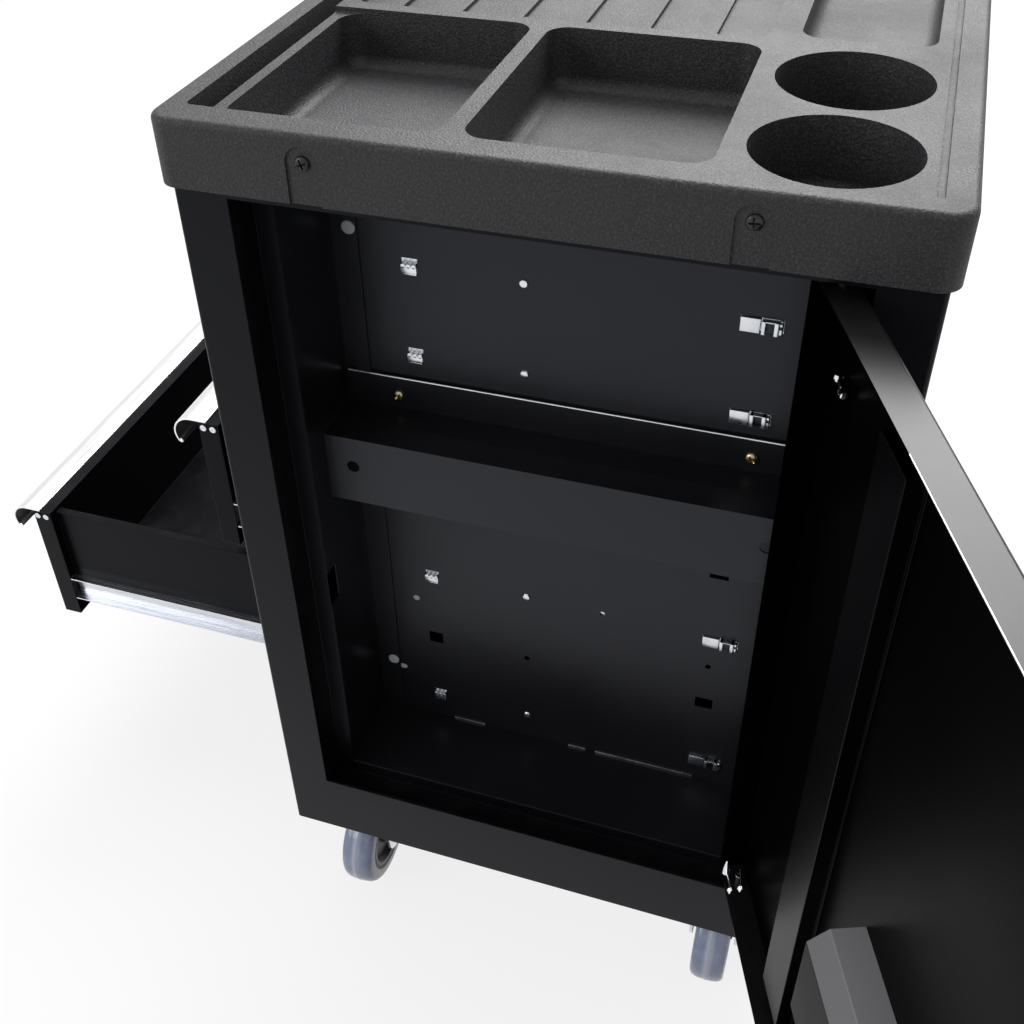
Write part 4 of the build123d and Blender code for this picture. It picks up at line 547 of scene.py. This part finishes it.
def cross_head(radius, height, slot_length, slot_width, slot_depth):
    """A pan head with a cross recess, made along +Z from its seat."""
    head = turned([(0, 0), (radius, 0), (radius, 0.3 * height), (0.9 * radius, 0.62 * height),
                   (0.62 * radius, 0.9 * height), (0, height)], Vector(), Z, 40)
    mesh = bpy.data.meshes.new("head")
    head.to_mesh(mesh)
    head.free()
    piece = bpy.data.objects.new("head", mesh)
    cutters = []
    for turn in (0, pi / 2):
        cut = bmesh.new()
        bmesh.ops.create_cone(cut, cap_ends=True, segments=4, radius1=slot_width * 0.4, radius2=slot_width,
                              depth=slot_depth)
        bmesh.ops.rotate(cut, cent=(0, 0, 0), matrix=Matrix.Rotation(pi / 4, 3, "Z"), verts=cut.verts)
        bmesh.ops.scale(cut, vec=(slot_length / slot_width, 1, 1), verts=cut.verts)
        bmesh.ops.rotate(cut, cent=(0, 0, 0), matrix=Matrix.Rotation(turn, 3, "Z"), verts=cut.verts)
        bmesh.ops.translate(cut, vec=(0, 0, height - slot_depth * 0.42), verts=cut.verts)
        shape = bpy.data.meshes.new("cut")
        cut.to_mesh(shape)
        cut.free()
        cutter = bpy.data.objects.new("cut", shape)
        bpy.context.scene.collection.objects.link(cutter)
        cutters.append(cutter)
        away = piece.modifiers.new("recess", "BOOLEAN")
        away.operation, away.solver, away.object = "DIFFERENCE", "EXACT", cutter
    bpy.context.scene.collection.objects.link(piece)
    bpy.context.view_layer.update()
    made = piece.evaluated_get(bpy.context.evaluated_depsgraph_get())
    done = bpy.data.meshes.new_from_object(made)
    for used in [piece, *cutters]:
        bpy.data.objects.remove(used)
    return done


# ---------------------------------------------------------------- body and tray
deck_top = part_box("top_tray")[1].z


def deck_edge(edge):
    """An edge of the tray's deck, which is more rounded than its underside."""
    return all(v.co.z > deck_top - 4.5 * MM for v in edge.verts)


softened("top_tray", tray_black, 0.5 * MM, 2, 30, deck_edge, 1.6 * MM)
for name in ("locker_frame", "drawer_front_frame", "back_panel", "far_end_panel", "base_pan"):
    softened(name, coat, 0.4 * MM)
for name in ("partition_panel", "locker_side_panels", "locker_floor", "locker_shelf"):
    softened(name, coat_inside_painted_light, 0.35 * MM)
softened("push_handle", coat, 0.6 * MM)
softened("hinge_plates", coat, 0.3 * MM)
softened("hinge_pins", zinc, 0.3 * MM)

# ---------------------------------------------------------------- locker door
softened("door_panel", coat_door_painted_shade, 0.35 * MM)
softened("door_stiffener", coat_stiffener_painted_shade, 0.6 * MM)
softened("door_handle_cup", cup_black_painted_top_light, 0.6 * MM)
for name in ("door_lock", "drawer_lock"):
    softened(name, chrome, 0.4 * MM)

# ---------------------------------------------------------------- screws, hooks and clips
locker_low, locker_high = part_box("locker_frame")
corner = Vector((locker_high.x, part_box("drawer_front_frame")[0].y, locker_low.z))
PAN_HEAD = 4.8 * MM, 2.6 * MM, 2.4 * MM         # radius, height and shank radius of the screws


def place(inward, back, up):
    """A point in from the locker end, back from the drawer side and up from the body's foot, in mm."""
    return corner + Vector((-inward, back, up)) * MM


def screw_seats(name, head, axis=None):
    """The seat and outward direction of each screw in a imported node, whose heads face outwards."""
    middle = Vector(((locker_high.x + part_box("far_end_panel")[0].x) / 2,
                     (corner.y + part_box("back_panel")[1].y) / 2, 0))
    found = []
    for low, high in solids(name):
        size = high - low
        way = max(range(3), key=lambda i: size[i]) if axis is None else axis
        centre = (low + high) / 2
        sign = 1 if centre[way] > middle[way] else -1
        outward = (X, Y, Z)[way] * sign
        seat = centre.copy()
        seat[way] = (high if sign > 0 else low)[way] - sign * head
        found.append((seat, outward, size[way] - head))
    return found


def screws(name, radius, height, shank, material, axis=None):
    """Cross-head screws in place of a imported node's plain ones."""
    head = cross_head(radius, height, radius * 1.15, radius * 0.20, height * 0.9)
    bm = bmesh.new()
    for number, (seat, outward, length) in enumerate(screw_seats(name, height, axis)):
        one = head.copy()
        one.transform(facing(seat, outward, 0.4 + 1.3 * number))
        bm.from_mesh(one)
        bpy.data.meshes.remove(one)
        gather(bm, turned([(0, 0.1 * MM), (shank, 0.1 * MM), (shank, -length + 0.8 * MM), (0, -length)],
                          seat, outward, 20))
    keep(bm, "cross_head_" + name, homes[name], material, [name], flip=False)


screws("tray_screws", *PAN_HEAD, black_oxide)
screws("cabinet_screws", *PAN_HEAD, brass_screw, 0)


def slide_hook(bm, low, high):
    """A hook through its slot, with a scalloped top and a turned-down lip."""
    face, tip = high.x, high.x - low.x
    third = (high.y - low.y) / 3
    base = low.z + 0.35 * (high.z - low.z)
    gather(bm, block((low.x, low.y, low.z + 0.6 * MM), (face, high.y, base + 2.2 * MM), 0.4 * MM))
    for number in range(3):
        seat = Vector((low.x, low.y + third * (number + 0.5), base + 2.6 * MM))
        tooth = [(0, 0), (third * 0.5, 0), (third * 0.5, tip - 0.4 * MM), (third * 0.4, tip), (0, tip)]
        gather(bm, turned(tooth, seat, X, 24))
    gather(bm, block((low.x, low.y + 0.6 * MM, base), (face - 0.2 * MM, high.y - 0.6 * MM, base + 3.0 * MM),
                     0.3 * MM))
    gather(bm, block((face - 1.0 * MM, low.y + 1.0 * MM, low.z),
                     (face, high.y - 0.4 * MM, low.z + 1.6 * MM), 0.3 * MM))


def slide_clip(bm, low, high):
    """A spring clip: a flat pad, a bridge of two bars, and a rounded tab."""
    back, face = low.x, high.x
    level, start = (low.z + high.z) / 2, low.y
    foot, head = low.z + 0.4 * MM, high.z - 0.4 * MM
    gather(bm, block((back, start, low.z), (face - 2.0 * MM, start + 13.4 * MM, high.z), 0.6 * MM))
    for at, width in ((14.1, 2.9), (22.3, 3.3)):
        gather(bm, block((back, start + at * MM, foot), (face, start + (at + width) * MM, head), 0.7 * MM))
    gather(bm, block((back, start + 14.1 * MM, high.z - 1.3 * MM), (face - 0.3 * MM, start + 25.6 * MM, head),
                     0.35 * MM))
    gather(bm, block((back, start + 25.0 * MM, level - 4.4 * MM), (face - 1.2 * MM, high.y, level + 4.4 * MM),
                     0.9 * MM, 3))


CLIP_WIDTH, HOOK_WIDTH = 20 * MM, 9 * MM        # a fixing wider than this is a clip, or a hook; else a screw
fixings, opening_shade = bmesh.new(), bmesh.new()
for low, high in solids("slide_fixings"):
    wide = high.y - low.y
    if wide > CLIP_WIDTH:
        slide_clip(fixings, low, high)
        level = (low.z + high.z) / 2
        # A dark block in the gap between the bars, and a dark disc on the tab for a hole: painted shade.
        gather(opening_shade, block((low.x + 0.4 * MM, low.y + 17.0 * MM, low.z + 0.8 * MM),
                              (high.x - 2.4 * MM, low.y + 22.3 * MM, high.z - 1.2 * MM), 0.3 * MM))
        gather(opening_shade, turned(in_mm((0, 0), (1.4, 0), (1.2, 0.15), (0, 0.15)),
                               Vector((high.x - 1.2 * MM, high.y - 1.6 * MM, level + 1.2 * MM)), X, 20))
    elif wide > HOOK_WIDTH:
        slide_hook(fixings, low, high)
    else:
        seat = Vector((high.x - 1.6 * MM, (low.y + high.y) / 2, (low.z + high.z) / 2))
        radius = wide / 2
        shank = in_mm((0, -2.8), (2.4, -2.8), (2.4, 0))
        dome = [(radius, 0), (radius, 0.4 * MM), (0.8 * radius, 1.2 * MM), (0.35 * radius, 1.6 * MM),
                (0, 1.6 * MM)]
        gather(fixings, turned(shank + dome, seat, X, 32))
keep(fixings, "slide_hooks_and_clips", homes["slide_fixings"], zinc,
     ["slide_fixings"], flip=False)
keep(opening_shade, "clip_openings_painted_shade", homes["slide_fixings"], opening_shade_dark, flip=False)

# Pale plug-shaped pieces where zinc glints through the strip's holes: painted highlights.
GLINT_PLUGS = [(100.5, 66.0, 130.0), (100.5, 66.0, 567.0)]            # in, back and up, mm
SLOT_GLINT_PLUG, PIN_GLINT_PLUG = (102.5, 74.0, 121.5), (102.5, 93.0, 214.0)
FLOOR_GLINT_TABS = ((122.0, 152.0), (232.0, 248.0), (257.0, 346.0))   # from and to, back from the drawer side
glint_plugs = bmesh.new()
for spot in GLINT_PLUGS:
    gather(glint_plugs, turned(in_mm((0, -3.2), (4.2, -3.2), (4.2, 0), (5.2, 0), (5.0, 0.6), (3.8, 1.0), (0, 1.1)),
                         place(*spot), X, 40))
slot_glint_plug = turned(in_mm((0, 0), (2.6, 0), (2.5, 0.5), (0, 0.6)), place(*SLOT_GLINT_PLUG), X, 32)
bmesh.ops.scale(slot_glint_plug, vec=(1, 1.6, 1), space=Matrix.Translation(-place(*SLOT_GLINT_PLUG)),
                verts=slot_glint_plug.verts)
gather(glint_plugs, slot_glint_plug)
gather(glint_plugs, turned(in_mm((0, -1.4), (2.4, -1.4), (2.4, 0), (3.0, 0.1), (0, 0.7)), place(*PIN_GLINT_PLUG), X, 24))
# Thin bright zinc strips where light dashes show along the locker's foot: painted highlights.
glint_tabs = bmesh.new()
for start, end in FLOOR_GLINT_TABS:
    gather(glint_tabs, block(place(102.4, start, 66.1), place(101.6, end, 68.0), 0.35 * MM))
keep(glint_tabs, "floor_glint_tabs", homes["locker_floor"], zinc, flip=False)

shelf_low, shelf_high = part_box("locker_shelf")
bead_along = shelf_high.y - shelf_low.y - 1.0 * MM
bead_seat = Vector((shelf_low.x + 0.7 * MM, shelf_low.y + 0.5 * MM, shelf_high.z - 0.2 * MM))
bead = turned([(0, 0), (0.6 * MM, 0), (0.9 * MM, 0.3 * MM), (0.9 * MM, bead_along - 0.3 * MM),
               (0.6 * MM, bead_along), (0, bead_along)], bead_seat, Y, 16)
keep(bead, "shelf_edge_bead", homes["locker_shelf"], zinc, flip=False)
keep(glint_plugs, "strip_hole_glints_painted", homes["partition_panel"], glint_white, flip=False)

# ---------------------------------------------------------------- hinge levers
pin_low, pin_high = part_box("hinge_pins")
hinge = Vector(((pin_low.x + pin_high.x) / 2, (pin_low.y + pin_high.y) / 2, corner.z))


def on_door(along, depth, up):
    """A point of the door: along it from the hinge, in from the hinge line, and up, in mm."""
    return hinge + (along_door * along + into_door * depth + Z * up) * MM


def wire_run(points, radius, steps=12):
    """A round wire along a run of points, with a ball closing each end."""
    bm = bmesh.new()
    for start, end in zip(points, points[1:]):
        axis, length = (end - start).normalized(), (end - start).length
        gather(bm, turned([(0, 0), (radius, 0), (radius, length), (0, length)], start, axis, steps))
    for point in points:
        ball = bmesh.new()
        bmesh.ops.create_uvsphere(ball, u_segments=steps, v_segments=8, radius=radius * 1.02)
        bmesh.ops.translate(ball, vec=point, verts=ball.verts)
        gather(bm, ball)
    return bm


def knob(seat, axis, radius, length):
    """A rounded knob on the end of a lever."""
    outline = [(0, 0), (0.75 * radius, 0.08 * length), (radius, 0.45 * length),
               (0.75 * radius, 0.88 * length), (0, length)]
    return turned(outline, seat, axis, 24)


# The upper pin's bent lever, then the lower pin with its cone, link and catch.
levers = wire_run([on_door(12, -5, 575), on_door(12, -2, 575), on_door(22, -2, 572)], 1.0 * MM)
gather(levers, knob(on_door(12, -2, 572.6), Z, 2.6 * MM, 5.0 * MM))
gather(levers, knob(on_door(20, -2, 572), along_door, 3.0 * MM, 7.0 * MM))
cone = in_mm((0, 0), (4.2, 0.6), (4.6, 2.4), (1.0, 15.0), (0, 15.6))
gather(levers, turned(cone, on_door(-4, 10, 76), Z, 24))
gather(levers, wire_run([on_door(-2, 10, 78), on_door(16, 11, 84)], 1.2 * MM))
gather(levers, knob(on_door(15, 11, 84), along_door, 3.3 * MM, 6.0 * MM))
gather(levers, wire_run([on_door(16, 5, 108), on_door(36, 10, 116)], 1.1 * MM))
gather(levers, knob(on_door(34, 10, 116), along_door, 3.2 * MM, 6.0 * MM))
keep(levers, "hinge_levers", homes["door_panel"], chrome, flip=False)

# The door's top flange edge as a bright zinc line: bare worn metal at the edge, and a painted highlight along
# it.
HIGHLIGHT_START, HIGHLIGHT_RADIUS = 150 * MM, 0.4 * MM
pan = merged("door_panel")
pan_top = max(vert.co.z for vert in pan.verts)
rim = [vert.co - hinge for vert in pan.verts if vert.co.z > pan_top - 0.4 * MM]
pan.free()
rim_depth, rim_end = max(p.dot(into_door) for p in rim), max(p.dot(along_door) for p in rim)
edge_highlight = [hinge + along_door * run + into_door * (rim_depth - 0.1 * MM)
        for run in (HIGHLIGHT_START, rim_end - 2.0 * MM)]
for point in edge_highlight:
    point.z = pan_top - 0.35 * MM
keep(wire_run(edge_highlight, HIGHLIGHT_RADIUS), "door_edge_highlight_painted", homes["door_panel"], zinc,
     flip=False)

# ---------------------------------------------------------------- drawers
def small_ring(edge):
    """An edge of the rivets' round rims."""
    return edge.calc_length() < 1.2 * MM


def pull_bead(number):
    """The edge of a pull's curl, rolled back on itself."""
    low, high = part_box(f"drawer_pull_{number}")
    curl, end = 17.0 * MM, radians(35)
    middle = Vector((0, low.y + curl, high.z - curl))
    bead = 2.0 * MM
    seat = middle + Vector((low.x + 0.3 * MM, -cos(end) * (curl - bead),
                            -sin(end) * (curl - bead) - 0.4 * MM))
    length = high.x - low.x - 0.6 * MM
    roll = turned([(0, 0), (bead - 0.5 * MM, 0), (bead, 0.5 * MM), (bead, length - 0.5 * MM),
                   (bead - 0.5 * MM, length), (0, length)], seat, X, 24)
    keep(roll, f"pull_bead_{number}", f"drawer_{number}", aluminium, flip=False)


for number in range(1, 6):
    softened(f"drawer_front_{number}", coat_drawer_painted_shade, 0.4 * MM)
    softened(f"drawer_box_{number}", coat_drawer_painted_shade, 0.35 * MM)
    softened(f"drawer_pull_{number}", aluminium, 0.3 * MM)
    softened(f"drawer_hardware_{number}", zinc_rolled, 0.2 * MM, 2, 30, small_ring, 0.8 * MM)
    pull_bead(number)
softened("slide_rails", zinc_rolled, 0.2 * MM)

# ---------------------------------------------------------------- casters
softened("caster_plates", zinc, 0.4 * MM)
softened("caster_bolts", zinc, 0.6 * MM)
softened("rigid_forks", zinc, 0.5 * MM)
softened("rigid_axles", zinc, 0.5 * MM)
for number in (1, 2):
    softened(f"swivel_fork_{number}", zinc, 0.5 * MM)
    softened(f"swivel_axle_{number}", zinc, 0.5 * MM)
    softened(f"brake_pedal_{number}", zinc, 0.5 * MM)


def wheel(number):
    """A moulded tread on a dished core, with a pale ring and a bearing cap."""
    low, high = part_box(f"wheel_tread_{number}")
    hub_low, hub_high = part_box(f"wheel_hub_{number}")
    centre = (low + high) / 2
    radius, half = (high.z - low.z) / 2, (high.y - low.y) / 2
    boss = (hub_high.y - hub_low.y) / 2
    body = f"wheel_{number}"
    inner = (hub_high.z - hub_low.z) / 2
    side = [(inner, half), (radius - 6.5 * MM, half), (radius - 4.4 * MM, half - 0.5 * MM),
            (radius - 2.6 * MM, half - 2.0 * MM), (radius - 1.2 * MM, half - 5.0 * MM),
            (radius - 0.45 * MM, half - 9.0 * MM), (radius - 0.25 * MM, 0.9 * MM), (radius, 0.45 * MM)]
    tread = turned(side + [(r, -a) for r, a in reversed(side)], centre, Y, 96)
    spread = tread.loops.layers.uv.new("round")
    for face in tread.faces:
        for loop in face.loops:
            off = loop.vert.co - centre
            loop[spread].uv = (off.x / radius, off.y / (2 * half) + 0.5)
    keep(tread, f"tread_{number}", body, tread_blue, [f"wheel_tread_{number}"])
    face = half - 0.4 * MM
    side = [(4.3 * MM, face - 2 * MM), (10.5 * MM, boss), (11.0 * MM, boss - 0.6 * MM),
            (12.0 * MM, face - 4.5 * MM), (27.0 * MM, face - 6.0 * MM), (29.5 * MM, face - 1.4 * MM),
            (30.2 * MM, face - 0.5 * MM),
            (34.0 * MM, face - 0.5 * MM), (34.6 * MM, face), (inner - 0.05 * MM, face)]
    core = turned(side + [(r, -a) for r, a in reversed(side)], centre, Y, 96)
    keep(core, f"core_{number}", body, core_dark, [f"wheel_hub_{number}"])
    rings = bmesh.new()
    for way in (-1, 1):
        ring = turned([(30.3 * MM, 0), (33.9 * MM, 0), (33.7 * MM, 0.5 * MM), (30.5 * MM, 0.5 * MM)],
                      centre + Y * way * (face - 0.55 * MM), Y * way, 96)
        gather(rings, ring)
    keep(rings, f"core_ring_{number}", body, core_pale, flip=False)
    races = bmesh.new()
    for way in (-1, 1):
        race = turned([(5.2 * MM, 0), (9.6 * MM, 0), (9.3 * MM, 0.5 * MM), (5.6 * MM, 0.4 * MM)],
                      centre + Y * way * (boss - 0.35 * MM), Y * way, 48)
        gather(races, race)
    keep(races, f"bearing_cap_{number}", body, zinc, flip=False)


for number in (1, 2, 3, 4):
    wheel(number)

# ---------------------------------------------------------------- camera
lens = bpy.data.cameras.new("camera")
lens.lens, lens.sensor_width = 43.05, 36.0
lens.shift_x, lens.shift_y = 0.0126, -0.0512
lens.clip_end = 200.0
camera = bpy.data.objects.new("camera", lens)
bpy.context.scene.collection.objects.link(camera)
EYE = Vector((0.5931, 0.4142, 0.9636))          # from the body's lower corner
RIGHT, UP, BACK = (-0.3140, 0.9492, -0.0199), (-0.5919, -0.1793, 0.7858), (0.7423, 0.2585, 0.6181)
turn = Matrix((RIGHT, UP, BACK)).transposed()
camera.matrix_world = Matrix.Translation(corner + EYE) @ turn.to_4x4()
bpy.context.scene.camera = camera

# ---------------------------------------------------------------- floor and light
bpy.context.scene.view_settings.view_transform = "Standard"
FLOOR_GREY, FLOOR_LIFT = (0.15, 0.15, 0.15), 0.82       # its own colour, and how pale it is seen
FLOOR_HALF = 60.0                                       # metres from the middle to an edge
WORLD_LIGHT = 0.50                                      # what the surroundings light the object with


def seen_rays(tree):
    """1 for the rays that see the surroundings: straight, in a gloss, or through a clear part."""
    path = node(tree, "ShaderNodeLightPath")
    straight = node(tree, "ShaderNodeMath", operation="MAXIMUM")
    tree.links.new(path.outputs["Is Camera Ray"], straight.inputs[0])
    tree.links.new(path.outputs["Is Glossy Ray"], straight.inputs[1])
    either = node(tree, "ShaderNodeMath", operation="MAXIMUM")
    tree.links.new(straight.outputs[0], either.inputs[0])
    tree.links.new(path.outputs["Is Transmission Ray"], either.inputs[1])
    return either.outputs[0]


floor_mesh = bpy.data.meshes.new("floor")
sheet = bmesh.new()
bmesh.ops.create_grid(sheet, x_segments=1, y_segments=1, size=FLOOR_HALF)
sheet.to_mesh(floor_mesh)
sheet.free()
floor = bpy.data.objects.new("floor", floor_mesh)
bpy.context.scene.collection.objects.link(floor)
floor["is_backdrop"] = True
pale, tree, shader = finish_of("pale_floor", 0.6, Specular_IOR_Level=0.0)
shader.inputs["Base Color"].default_value = (*FLOOR_GREY, 1)
lift = node(tree, "ShaderNodeMath", operation="MULTIPLY")
tree.links.new(seen_rays(tree), lift.inputs[0])
lift.inputs[1].default_value = FLOOR_LIFT
shader.inputs["Emission Color"].default_value = (1, 1, 1, 1)
tree.links.new(lift.outputs[0], shader.inputs["Emission Strength"])
floor_mesh.materials.append(pale)

world = bpy.data.worlds.new("studio")
bpy.context.scene.world = world
world.use_nodes = True
tree = world.node_tree
tree.nodes.clear()
level = node(tree, "ShaderNodeMapRange", To_Min=WORLD_LIGHT, To_Max=1.0)
tree.links.new(seen_rays(tree), socket(level, "Value"))
sky = node(tree, "ShaderNodeBackground")
tree.links.new(level.outputs[0], sky.inputs["Strength"])
out = node(tree, "ShaderNodeOutputWorld")
tree.links.new(sky.outputs[0], out.inputs["Surface"])


def lamp(name, kind, place, target, power, **settings):
    """A lamp at a place, pointed at a target."""
    light = bpy.data.lights.new(name, kind)
    light.energy = power
    for key, value in settings.items():
        setattr(light, key, value)
    stand = bpy.data.objects.new(name, light)
    bpy.context.scene.collection.objects.link(stand)
    stand.location = place
    stand.rotation_mode = "QUATERNION"
    stand.rotation_quaternion = (Vector(target) - Vector(place)).to_track_quat("-Z", "Y")


lamp("overhead_key", "SUN", (-0.6, -0.4, 3.0), (0, 0, 0.4), 1.2, angle=radians(35))
lamp("raking_soft_box", "AREA", (-2.3, 0.2, 3.0), (0.2, 0.1, 0.6), 165, shape="RECTANGLE", size=2.4,
     size_y=2.2)
lamp("front_fill", "AREA", (2.4, -2.6, 1.8), (0.1, 0.0, 0.4), 40, shape="RECTANGLE", size=1.8, size_y=1.8)

# ---------------------------------------------------------------- sizes
low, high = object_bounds()
